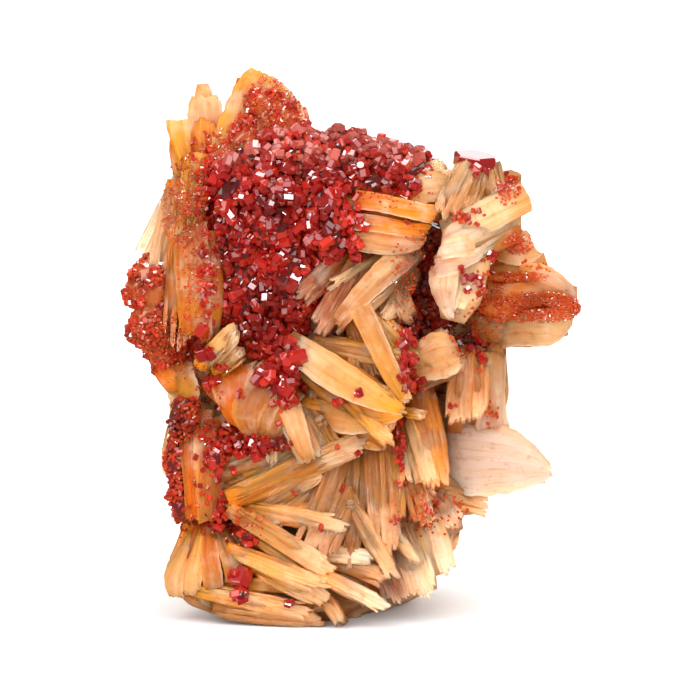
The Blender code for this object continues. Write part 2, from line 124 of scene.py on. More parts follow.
# Sheaves of the show face. Each row: root x, y, z; tip x, y, z; width; depth; roll in degrees; tint of
# the root; tint of the tip.
CENTRE_SHEAVES = [
    (-10.5, -19, 50.5, 9.8, -26, 38.4, 5.2, 7, 8, "peach", "amber"),
    (1.5, -20, 57, 9.9, -24, 39.5, 4.4, 8, -6, "gold", "gold"),
    (0.2, -17, 55, 4.5, -21, 42.5, 3.8, 8, 0, "tan", "peach"),
    (-5, -16, 52.5, 3, -19, 43.5, 3.2, 6, 0, "tan", "peach"),
    (3.8, -17, 66.5, -5.2, -20, 51.2, 5.4, 7, 10, "brown", "brown"),
    (12, -18, 67, 0.6, -21, 56.2, 4.2, 6, -25, "peach", "cream"),
    (7.2, -17, 62, 10.6, -20, 53.4, 2.8, 7, 0, "peach", "cream"),
    (10.6, -15, 57, 5.9, -19, 50.4, 2.6, 7, 0, "peach", "peach"),
    (2.6, -14, 57.4, 9.4, -16, 56.8, 1.8, 6, 0, "peach", "gold"),
    (-8, -17, 39.4, 8.8, -23, 36.6, 4.6, 6, 30, "amber", "amber"),
    (-6.2, -15, 49, -4.4, -18, 35.6, 6.0, 6, 0, "tan", "peach"),
    (-11.4, -18, 38.8, -6.6, -22, 28.2, 4.4, 7, 0, "cream", "peach"),
    (-6, -18, 38.2, -1.6, -21, 29.8, 2.4, 6, 0, "peach", "gold"),
]
RIGHT_SHEAVES = [
    (9.6, -19, 45.6, 18.6, -22, 51.0, 6.2, 5, 15, "tan", "cream"),
    (10.6, -19, 43.6, 20.4, -22, 48.0, 5.6, 5, 20, "brown", "tan"),
    (12.4, -15, 43.5, 15.6, -19, 23.2, 6.4, 10, 0, "brown", "gold"),
    (10.2, -17, 38, 14.4, -22, 24.4, 2.4, 7, 0, "cream", "cream"),
    (20.4, -13, 48, 18.8, -19, 34.6, 4.4, 12, 0, "tan", "peach"),
    (22.8, -11, 47, 22.6, -17, 35.4, 4.2, 12, 0, "peach", "cream"),
    (9.4, -20, 38.4, 13.4, -22, 37.6, 1.4, 4, 0, "amber", "gold"),
    (14.0, -10, 24.4, 24.8, -8, 21.2, 6.2, 12, 0, "peach", "cream"),
    (9.0, -15, 27.4, 15.2, -18, 21.8, 3.0, 6, 0, "cream", "orange"),
    (14.6, -8, 25.0, 19.2, -10, 16.4, 5.0, 14, 0, "tan", "shell"),
    (11.0, -9, 24.6, 16.6, -11, 8.0, 6.4, 13, 0, "peach", "white"),
    (8.0, -10, 21.0, 14.4, -11, 4.6, 6.8, 13, 0, "peach", "white"),
    (4.6, -10, 16.0, 9.4, -11, 3.6, 6.0, 12, 0, "tan", "shell"),
]
SMOOTH_SHEAVES = [
    (26.2, -8, 50, 26.0, -10, 35.0, 4.6, 12, 0, "peach", "cream"),
    (-28.6, -10, 41.0, -28.2, -14, 19.0, 3.8, 9, 0, "orange", "tan"),
    (-26.0, -13, 38.0, -25.4, -16, 17.6, 4.4, 8, 0, "tan", "gold"),
    (-33.6, -8, 46.4, -27.6, -15, 40.6, 5.4, 7, 15, "orange", "gold"),
    (-23.8, -14, 45.0, -13.0, -19, 36.4, 9.6, 8, 0, "orange", "tan"),
    (-27.4, -8, 18.0, -31.4, -12, 5.6, 5.6, 9, 0, "gold", "cream"),
    (-26.4, -11, 17.4, -28.2, -15, 6.2, 4.2, 8, 0, "orange", "peach"),
    (-25.0, -13, 17.0, -23.4, -17, 6.4, 4.4, 8, 0, "orange", "tan"),
    (-25.0, -15, 70.0, -25.2, -18, 49.0, 5.2, 7, 0, "orange", "gold"),
]
WEDGE_SHEAVES = [
    (16.6, -8, 29.6, 36.3, -10, 26.8, 7.4, 12, 0, "shell", "shell"),
]
LOWER_SHEAVES = [
    (-21.6, -18, 22.4, 3.0, -21, 33.2, 4.8, 7, 0, "gold", "peach"),
    (-18.2, -17, 19.6, -4.4, -20, 28.0, 3.6, 7, 0, "peach", "peach"),
    (-21.4, -19, 20.6, -2.6, -23, 9.4, 3.6, 8, 0, "gold", "cream"),
    (-2.0, -17, 30.0, -9.4, -21, 12.4, 4.2, 7, 0, "peach", "peach"),
    (0.2, -18, 24.0, -5.0, -21, 12.0, 3.8, 7, 0, "peach", "tan"),
    (4.6, -16, 37.0, 6.4, -21, 12.0, 6.0, 7, 0, "tan", "peach"),
    (7.6, -15, 36.0, 8.2, -19, 17.0, 3.2, 7, 0, "peach", "gold"),
    (-0.8, -18, 23.0, 7.6, -22, 8.0, 3.0, 7, 0, "peach", "cream"),
    (-3.6, -15, 13.2, 3.0, -17, 13.4, 1.8, 5, 0, "peach", "cream"),
    (-4.4, -17, 11.6, 6.8, -20, 7.8, 2.8, 7, 0, "peach", "cream"),
    (-21.4, -18, 13.8, -3.6, -23, 6.6, 2.8, 7, 0, "amber", "cream"),
    (-17.6, -15, 9.2, -5.0, -19, 5.6, 2.6, 6, 0, "peach", "peach"),
    (-29.0, -15, 6.8, -6.0, -20, 2.0, 2.8, 8, 0, "amber", "cream"),
    (-9.0, -19, 10.8, 6.9, -22, 3.0, 3.2, 8, 0, "amber", "white"),
    (-11.8, -17, 0.8, -3.6, -19, 6.4, 2.6, 6, 0, "tan", "peach"),
    (-6.0, -18, 7.0, -0.8, -21, 0.2, 2.6, 7, 0, "peach", "cream"),
    (-24.0, -14, 3.0, -4.0, -17, 1.0, 3.6, 10, 0, "peach", "cream"),
    (-1.8, -17, 27.6, 1.8, -19, 20.2, 1.8, 5, 0, "orange", "peach"),
]
LOW_LEFT_SHEAVES = [
    (-24.2, -14, 26.6, -9.0, -19, 32.0, 4.6, 8, 0, "tan", "peach"),
    (-23.6, -12, 30.4, -13.0, -16, 33.0, 4.4, 8, 0, "orange", "tan"),
    (-22.4, -15, 23.6, -8.0, -19, 28.6, 4.0, 8, 0, "tan", "peach"),
    (-23.6, -14, 17.0, -19.6, -17, 8.0, 4.2, 7, 0, "tan", "peach"),
    (-28.2, -10, 5.0, -24.0, -13, 3.0, 3.4, 9, 0, "peach", "cream"),
    (-18.0, -16, 36.8, -12.6, -20, 44.8, 3.6, 5, 10, "tan", "cream"),
    (-26.8, -18, 46.2, -20.2, -23, 53.0, 3.4, 4, 20, "amber", "cream"),
]
TOP_SHEAVES = [
    (-14.6, -8, 80.0, -16.6, -5, 99.8, 13.6, 7, 18, "orange", "gold"),
    (-11.0, -7, 82.0, -9.0, -5, 94.0, 5.4, 6, 0, "orange", "orange"),
    (-25.4, -9, 79.0, -25.6, -8, 92.0, 6.4, 6, 0, "orange", "gold"),
    (-25.6, -4, 86.0, -26.6, -3, 97.8, 4.0, 4, 0, "gold", "cream"),
    (-29.2, -6, 76.0, -31.0, -5, 91.2, 4.6, 5, 12, "gold", "amber"),
    (-24.6, -10, 80.4, -20.0, -12, 86.4, 4.2, 8, 0, "orange", "gold"),
]
LEFT_SHEAVES = [
    (-29.6, -4, 79.6, -36.8, -4, 64.4, 5.4, 12, 0, "shell", "white"),
    (-30.6, -9, 79.0, -34.4, -11, 60.0, 5.4, 9, 0, "gold", "shell"),
    (-29.0, -12, 76.0, -30.8, -15, 49.0, 6.0, 8, 0, "gold", "orange"),
    (-27.6, -12, 84.0, -29.0, -14, 66.0, 5.0, 8, 0, "amber", "gold"),
    (-34.6, -8, 66.0, -33.6, -10, 50.0, 4.2, 9, 0, "white", "gold"),
]
PETALS = [
    (8.0, -14, 76.0, 18.4, -16, 80.6, 7.0, 6, 10, "gold", "cream"),
    (21.4, -17, 82.0, 16.4, -22, 72.0, 4.4, 6, 15, "cream", "peach"),
    (23.4, -16, 81.0, 20.8, -21, 72.6, 2.8, 6, 0, "peach", "peach"),
    (25.0, -14, 81.6, 26.6, -18, 73.4, 4.6, 7, 0, "tan", "cream"),
    (28.6, -10, 80.0, 27.6, -14, 70.0, 5.0, 8, 0, "peach", "cream"),
]
LONG_PETALS = [
    (30.8, -16, 76.4, 16.2, -23, 69.6, 6.6, 7, -20, "cream", "white"),
    (29.0, -15, 70.6, 15.4, -24, 64.4, 6.6, 7, 10, "peach", "cream"),
    (22.8, -17, 68.0, 17.8, -25, 54.2, 8.8, 7, 12, "cream", "white"),
]
ARM_SHEAVES = [
    (22.0, -8, 61.0, 35.4, -11, 65.4, 5.0, 12, 0, "gold", "cream"),
    (22.0, -10, 58.8, 41.3, -14, 59.0, 5.4, 13, 0, "gold", "cream"),
    (22.6, -8, 53.0, 39.6, -11, 53.6, 7.8, 13, 0, "tan", "cream"),
    (26.4, -8, 65.0, 32.0, -10, 70.0, 2.8, 8, 0, "orange", "gold"),
]
PLATE_SHEAVES = [
    (-2.0, -16, 75.4, 16.2, -20, 73.0, 4.6, 7, 25, "orange", "gold"),
    (-2.0, -16, 70.6, 14.2, -20, 69.8, 3.6, 7, 20, "orange", "cream"),
    (-1.0, -15, 66.6, 12.8, -19, 67.2, 2.8, 7, 10, "tan", "cream"),
    (-1.0, -12, 79.6, 14.0, -15, 79.8, 5.2, 7, 30, "orange", "gold"),
]

# Pieces made of sheaves with single blades on them, and pieces of plain sheaves.
BLADED = [
    ("barite_centre", CENTRE_SHEAVES),
    ("barite_right", RIGHT_SHEAVES),
    ("barite_lower", LOWER_SHEAVES),
    ("barite_low_left", LOW_LEFT_SHEAVES),
    ("barite_left_flank", LEFT_SHEAVES),
    ("barite_petals", PETALS),
]
PLAIN = [
    ("barite_crown_plates", TOP_SHEAVES),
    ("barite_long_petals", LONG_PETALS),
    ("barite_arm", ARM_SHEAVES),
    ("barite_ledge_plates", PLATE_SHEAVES),
    ("barite_wedge", WEDGE_SHEAVES),
    ("barite_smooth_columns", SMOOTH_SHEAVES),
]

# Crusts. Each patch: x, z, half width, half height, and how far its hump stands out of the show face.
MAIN_PATCHES = [
    (-21.5, 78.5, 5.6, 6.0, 3.2),
    (-20.5, 69.0, 5.0, 8.0, 3.8),
    (-19.0, 59.0, 5.6, 8.0, 3.6),
    (-15.0, 52.4, 6.4, 5.0, 3.4),
    (-13.0, 73.5, 6.4, 8.0, 5.0),
    (-10.5, 62.0, 6.4, 8.4, 5.4),
    (-10.0, 83.0, 7.0, 6.0, 4.6),
    (-4.2, 72.0, 5.4, 8.4, 5.2),
    (-1.5, 83.4, 6.0, 4.6, 5.0),
    (4.4, 82.4, 5.0, 4.4, 5.0),
    (9.8, 81.2, 5.0, 3.8, 5.0),
    (-4.0, 78.6, 6.0, 3.4, 2.4),
    (4.0, 78.4, 5.4, 2.8, 2.6),
    (10.0, 78.2, 3.6, 2.2, 2.6),
    (-17.0, 83.0, 4.4, 3.4, 2.6),
]
CROWN_PATCHES = [
    (-13.0, 90.0, 3.8, 4.4, 1.6),
    (-15.6, 92.6, 3.4, 3.0, 1.2),
    (-11.4, 87.6, 3.4, 3.0, 2.0),
    (-18.0, 87.4, 3.0, 3.2, 1.4),
]
LEFT_PATCHES = [
    (-35.4, 60.0, 4.6, 5.4, 4.0),
    (-34.8, 53.4, 4.6, 5.6, 4.2),
    (-32.6, 48.6, 4.0, 3.6, 3.6),
]
EDGE_PATCHES = [
    (-29.4, 36.8, 2.8, 4.2, 4.0),
    (-30.2, 29.0, 2.8, 6.0, 4.0),
    (-29.4, 22.0, 2.6, 4.0, 4.0),
]
CLEFT_PATCHES = [
    (13.6, 68.0, 3.4, 4.4, 4.0),
    (12.4, 62.0, 4.6, 5.0, 4.0),
    (13.6, 55.6, 4.6, 4.4, 4.0),
    (11.6, 60.0, 1.9, 4.2, 1.4),
    (10.6, 52.4, 1.3, 4.4, 1.2),
    (21.6, 50.4, 2.2, 1.5, 1.4),
]
ARM_PATCHES = [
    (29.4, 61.8, 5.0, 0.7, 1.4),
    (35.0, 56.8, 6.0, 2.2, 1.4),
    (27.6, 57.0, 4.4, 3.0, 1.8),
]
BOSS_PATCHES = [
    (-22.6, 33.6, 2.8, 1.8, 2.0),
    (-18.6, 32.6, 3.2, 1.4, 2.2),
    (-14.0, 32.2, 3.2, 1.3, 2.2),
    (-24.2, 29.4, 1.6, 2.4, 2.0),
]
ROOT_PATCHES = [
    (-23.4, 19.6, 2.2, 2.2, 2.2),
    (-20.4, 17.8, 2.6, 1.6, 2.2),
    (-17.4, 15.8, 2.2, 1.2, 1.8),
]
FOOT_PATCHES = [
    (-19.5, 8.6, 1.7, 1.7, 2.0),
    (-19.3, 5.2, 1.3, 1.0, 1.8),
]
MIDDLE_PATCHES = [
    (-9.6, 47.0, 2.2, 2.2, 2.2),
    (-11.8, 42.0, 2.4, 2.6, 2.2),
    (-14.4, 44.4, 2.0, 1.8, 2.0),
]

# The druses: piece, the crust it stands for, patches, space between crystals, least and most radius, how
# light they are (painted shade on the crystals and their crust, darkest in the cleft, which lies deep), and
# the colour of the crust that shows between them.
DRUSES = [
    ("vanadinite_main_druse", "vanadinite_main_crust", MAIN_PATCHES, 1.16, 0.42, 1.02, 1.0, "#5C0C08"),
    ("vanadinite_crown_druse", "vanadinite_main_crust", CROWN_PATCHES, 0.62, 0.18, 0.52, 1.0, "#B8501A"),
    ("vanadinite_left_druse", "vanadinite_left_crust", LEFT_PATCHES, 0.7, 0.2, 0.5, 1.0, "#B8602C"),
    ("vanadinite_edge_druse", "vanadinite_edge_band", EDGE_PATCHES, 0.74, 0.24, 0.5, 1.0, "#6C140A"),
    ("vanadinite_cleft_druse", "vanadinite_cleft_crust", CLEFT_PATCHES, 1.1, 0.4, 0.85, 0.5, "#64100A"),
    ("vanadinite_arm_druse", "vanadinite_arm_crust", ARM_PATCHES, 0.42, 0.12, 0.26, 1.0, "#C85C1C"),
    ("vanadinite_boss_druse", "vanadinite_boss_crust", BOSS_PATCHES, 0.95, 0.34, 0.8, 1.0, "#64100A"),
    ("vanadinite_root_druse", "vanadinite_root_cluster", ROOT_PATCHES, 0.95, 0.34, 0.75, 1.0, "#64100A"),
    ("vanadinite_foot_druse", "vanadinite_foot_cluster", FOOT_PATCHES, 1.0, 0.4, 0.95, 1.0, "#64100A"),
    ("vanadinite_middle_druse", "vanadinite_middle_cluster", MIDDLE_PATCHES, 1.2, 0.5, 1.1, 0.9, "#64100A"),
]

# Hollows of the crusts, darkened with painted shade: x, z, half width, half height.
PAINTED_SHADE_HOLLOWS = [
    (-19.0, 74.0, 2.4, 2.0),
    (-4.0, 71.0, 2.0, 1.6),
    (-12.0, 60.0, 1.8, 2.4),
    (-19.0, 52.0, 2.6, 2.0),
    (-6.0, 80.2, 7.0, 1.6),
    (-13.5, 75.0, 3.6, 2.8),
    (-15.0, 57.0, 3.0, 4.0),
    (-9.0, 66.0, 2.4, 2.4),
    (-22.0, 66.0, 2.0, 3.0),
    (-31.0, 37.0, 3.0, 3.0),
    (-38.0, 61.0, 1.4, 1.8),
    (7.0, 78.6, 4.0, 1.2),
]

# Crystals strewn on the blades: x, z, radius, how many, and how far they are strewn in x and z.
STRAYS = [
    (-25.6, 77.0, 0.6, 70, 1.8, 6.0),
    (-25.2, 62.0, 0.6, 60, 1.4, 8.0),
    (-25.0, 85.0, 0.5, 50, 3.0, 2.6),
    (-14.8, 44.5, 1.3, 1, 0, 0),
    (-12.3, 43.8, 1.3, 1, 0, 0),
    (-9.0, 47.5, 1.7, 1, 0, 0),
    (-8.5, 43.0, 1.0, 3, 0.6, 1.4),
    (-11.5, 41.5, 0.9, 3, 1.0, 0.8),
    (-12.0, 39.5, 0.6, 10, 1.6, 1.2),
    (-12.8, 36.0, 1.0, 1, 0, 0),
    (-25.0, 42.5, 0.8, 9, 1.6, 1.6),
    (-19.5, 41.0, 0.6, 4, 0.8, 0.8),
    (-23.2, 38.5, 0.5, 4, 0.6, 0.8),
    (-25.5, 34.5, 0.6, 10, 1.2, 1.6),
    (-27.5, 39.5, 0.7, 8, 1.4, 1.2),
    (-25.0, 30.5, 0.6, 6, 1.0, 1.0),
    (-24.5, 28.5, 1.3, 1, 0, 0),
    (-24.0, 26.0, 0.6, 6, 1.0, 1.4),
    (-21.0, 27.5, 0.6, 4, 0.8, 0.8),
    (-23.0, 22.0, 0.7, 8, 1.4, 1.6),
    (-19.5, 8.5, 2.4, 2, 0.3, 0.3),
    (-19.5, 5.5, 1.2, 2, 0.6, 0.4),
    (-11.0, 4.0, 0.8, 2, 0.4, 0.4),
    (-30.0, 18.0, 0.4, 8, 1.0, 1.4),
    (-31.0, 15.5, 0.35, 6, 0.6, 1.0),
    (-26.4, 50.4, 1.8, 9, 2.2, 2.0),
    (-16.5, 30.2, 1.3, 2, 0.8, 0.3),
    (-19.3, 30.4, 0.9, 4, 1.2, 0.4),
    (-24.5, 31.5, 1.1, 2, 0.6, 0.8),
    (-20.0, 33.6, 0.6, 14, 2.6, 0.8),
    (-13.5, 32.6, 0.6, 12, 2.8, 1.0),
    (-22.5, 46.0, 0.8, 5, 1.4, 0.5),
    (21.5, 61.5, 0.8, 9, 1.4, 1.8),
    (25.2, 65.2, 0.6, 9, 1.0, 1.4),
    (19.7, 63.4, 0.9, 1, 0, 0),
    (22.5, 81.0, 0.8, 10, 2.6, 0.8),
    (-1.5, 39.5, 0.8, 3, 1.0, 0.6),
    (1.5, 41.0, 0.8, 3, 0.8, 0.6),
    (10.0, 47.5, 0.9, 44, 1.2, 4.6),
    (9.0, 31.5, 0.8, 22, 0.6, 4.4),
    (1.4, 71.0, 0.9, 34, 1.6, 5.0),
    (12.0, 42.5, 0.7, 14, 1.6, 1.2),
    (-27.0, 24.0, 0.6, 16, 1.6, 7.0),
    (1.3, 30.6, 1.1, 1, 0, 0),
    (-2.0, 31.5, 0.8, 2, 0.4, 0.4),
    (-1.5, 24.0, 0.9, 2, 0.3, 1.0),
    (-5.0, 17.5, 0.7, 2, 0.4, 0.4),
    (-10.0, 23.5, 0.7, 2, 0.4, 0.4),
    (10.0, 72.0, 0.6, 5, 0.8, 0.8),
    (9.0, 78.0, 2.0, 6, 2.4, 1.2),
    (3.0, 84.0, 1.8, 14, 9.0, 2.4),
    (28.4, 78.0, 0.5, 26, 1.8, 2.4),
    (21.0, 72.5, 0.5, 26, 3.2, 1.2),
    (23.8, 59.0, 0.5, 34, 2.0, 5.0),
    (21.8, 50.0, 0.8, 14, 2.0, 1.6),
    (23.5, 46.5, 0.7, 4, 0.6, 1.4),
    (18.5, 39.0, 0.6, 3, 0.6, 0.8),
    (15.0, 21.0, 0.5, 9, 1.4, 1.2),
    (7.8, 18.5, 0.5, 5, 0.8, 0.8),
    (9.0, 25.0, 0.5, 5, 0.8, 0.8),
    (19.5, 21.0, 0.35, 8, 1.6, 1.0),
    (25.0, 37.5, 0.35, 16, 1.4, 2.0),
    (33.5, 63.5, 0.35, 20, 3.4, 1.6),
]

# Dust of very small crystals: x, z, half width, half height, how many.
DUST = [
    (-13.0, 91.0, 5.5, 6.0, 420),
    (-21.0, 84.0, 4.5, 5.0, 180),
    (-29.0, 75.0, 4.0, 7.0, 380),
    (-27.0, 62.0, 3.0, 9.0, 260),
    (-30.0, 50.0, 4.0, 5.0, 160),
    (-25.0, 43.0, 3.0, 3.0, 60),
    (-26.0, 35.0, 1.6, 3.0, 60),
    (-20.0, 18.0, 4.0, 3.0, 120),
    (8.0, 79.0, 6.0, 4.0, 120),
    (10.8, 60.0, 3.0, 10.0, 160),
    (33.0, 56.6, 7.6, 2.2, 1200),
    (29.4, 62.0, 5.4, 0.7, 160),
    (30.0, 68.0, 2.4, 1.6, 160),
    (28.0, 77.5, 2.0, 2.4, 90),
    (24.0, 56.0, 3.0, 6.0, 120),
    (21.0, 51.0, 3.0, 3.0, 110),
    (14.0, 20.0, 5.0, 4.0, 90),
]

# The big tablet on the right crown: middle, the way it faces, radius, thickness and turn in degrees.
CROWN_TABLET = ((22.2, -16.0, 82.7), (0.12, -0.25, 1.0), 3.9, 2.6, 12)

# The stone behind the blades: height, left, right, front and back of each level, bottom to top.
STONE_LEVELS = [
    (-8, -24, 3, -9, 14),
    (1, -25, 5, -12, 18),
    (5, -27, 12, -14, 20),
    (10, -28, 16.5, -15, 22),
    (17, -29, 18.5, -15, 23),
    (24, -30, 22, -15, 24),
    (34, -31, 24, -15, 24),
    (46, -32, 25, -15, 24),
    (56, -36, 24, -15, 25),
    (64, -36, 22, -16, 24),
    (72, -33, 20, -17, 22),
    (80, -28, 15, -16, 18),
    (83.5, -25, 12, -15, 16),
    (86, -20, 3, -11, 12),
    (88, -15, -4, -5, 8),
]
STONE_SQUARENESS = 2.7  # exponent of the levels' outline: 2 is an ellipse, more is squarer
STONE_LUMP = 0.9  # how far the stone's broad lumps stand out
STONE_ROWS, STONE_AROUND = 160, 300  # levels of points on it, and points round each
STONE_GRAIN = (1.0, 1.0, 0.3)  # the stone's grain is its own place, drawn out upward
LUMP_ROWS, LUMP_AROUND = 16, 24  # the same for the ellipsoids behind the crystals

# Blades that lie on the sides and the back. Each row: angle round the stone in degrees (90 is straight
# back) and height of the root, then the same of the tip.
BACK_SHEAVES = [
    (24, 60, 52, 44),
    (30, 38, 50, 56),
    (34, 12, 58, 26),
    (36, 68, 62, 58),
    (58, 40, 84, 52),
    (60, 54, 70, 78),
    (66, 34, 92, 24),
    (60, 12, 84, 20),
    (78, 66, 104, 56),
    (84, 78, 106, 68),
    (92, 44, 112, 62),
    (92, 14, 112, 8),
    (112, 44, 138, 34),
    (116, 70, 132, 52),
    (124, 18, 148, 30),
    (128, 62, 152, 72),
    (140, 46, 160, 60),
    (150, 40, 172, 26),
]
BACK_SHEAF = (8.4, 8.0)  # width and depth of one of them
BACK_STAND = (-1.5, 1.8)  # how far its root and its tip stand out of the stone
BACK_EXTRA = 84  # smaller ones strewn among them

SHEAF_SUNK = 0.1  # how far the body of a sheaf lies behind the blades that stand out of it
SHEAF_RINGS = 9  # rings of points from a sheaf's root to its tip
BLADES_ROUND = 11  # groups of four points across its front
SHEAF_BACK = 5  # points across its back
SHEAF_BOW = 0.25  # how far the front bows out halfway along, in millimetres
SHEAF_SWELL = ((0, 0.6, 1), (0.8, 1, 0.55))  # how wide and deep it is, by the share of the way along it

# A single blade from root to tip: how far along, how wide, how far its point leans over to one side, and
# how many millimetres it sinks back.
LATH_SHARE = np.array((0.0, 0.1, 0.4, 0.8, 0.95, 1.0))
LATH_WIDTH = np.array((0.5, 0.85, 1.0, 0.98, 0.88, 0.5))
LATH_LEAN = np.array((0.0, 0.0, 0.0, 0.02, 0.16, 0.6))
LATH_SINK = np.array((0.8, 0.25, 0.0, 0.0, 0.06, 0.3))
# Its section: across, as a share of its half width, and into the stone in millimetres.
LATH_ACROSS = np.array((-1.0, -1.0, -0.4, 0.5, 1.0, 1.0))
LATH_INTO = np.array((2.2, 0.3, 0.0, 0.0, 0.3, 2.2))
LATH_SWELL = ((0, 0.6, 1), (0.82, 1, 0.72))  # the same as SHEAF_SWELL, for how far a bar stands out
LATH_PALE = np.array((0.0, 0.0, 0.0, 0.05, 0.2, 0.35))  # how white it turns, from root to tip
LATH_PAINTED_SHADE = np.array((1, 0.35, 0, 0, 0.35, 1))  # how much darker painted shade makes it, across its section: most on the sides, which run into the gaps

SHEET_ROWS = 24  # rows of points along a broad plate
SHEET_ACROSS = 34  # points from one edge of it to the other

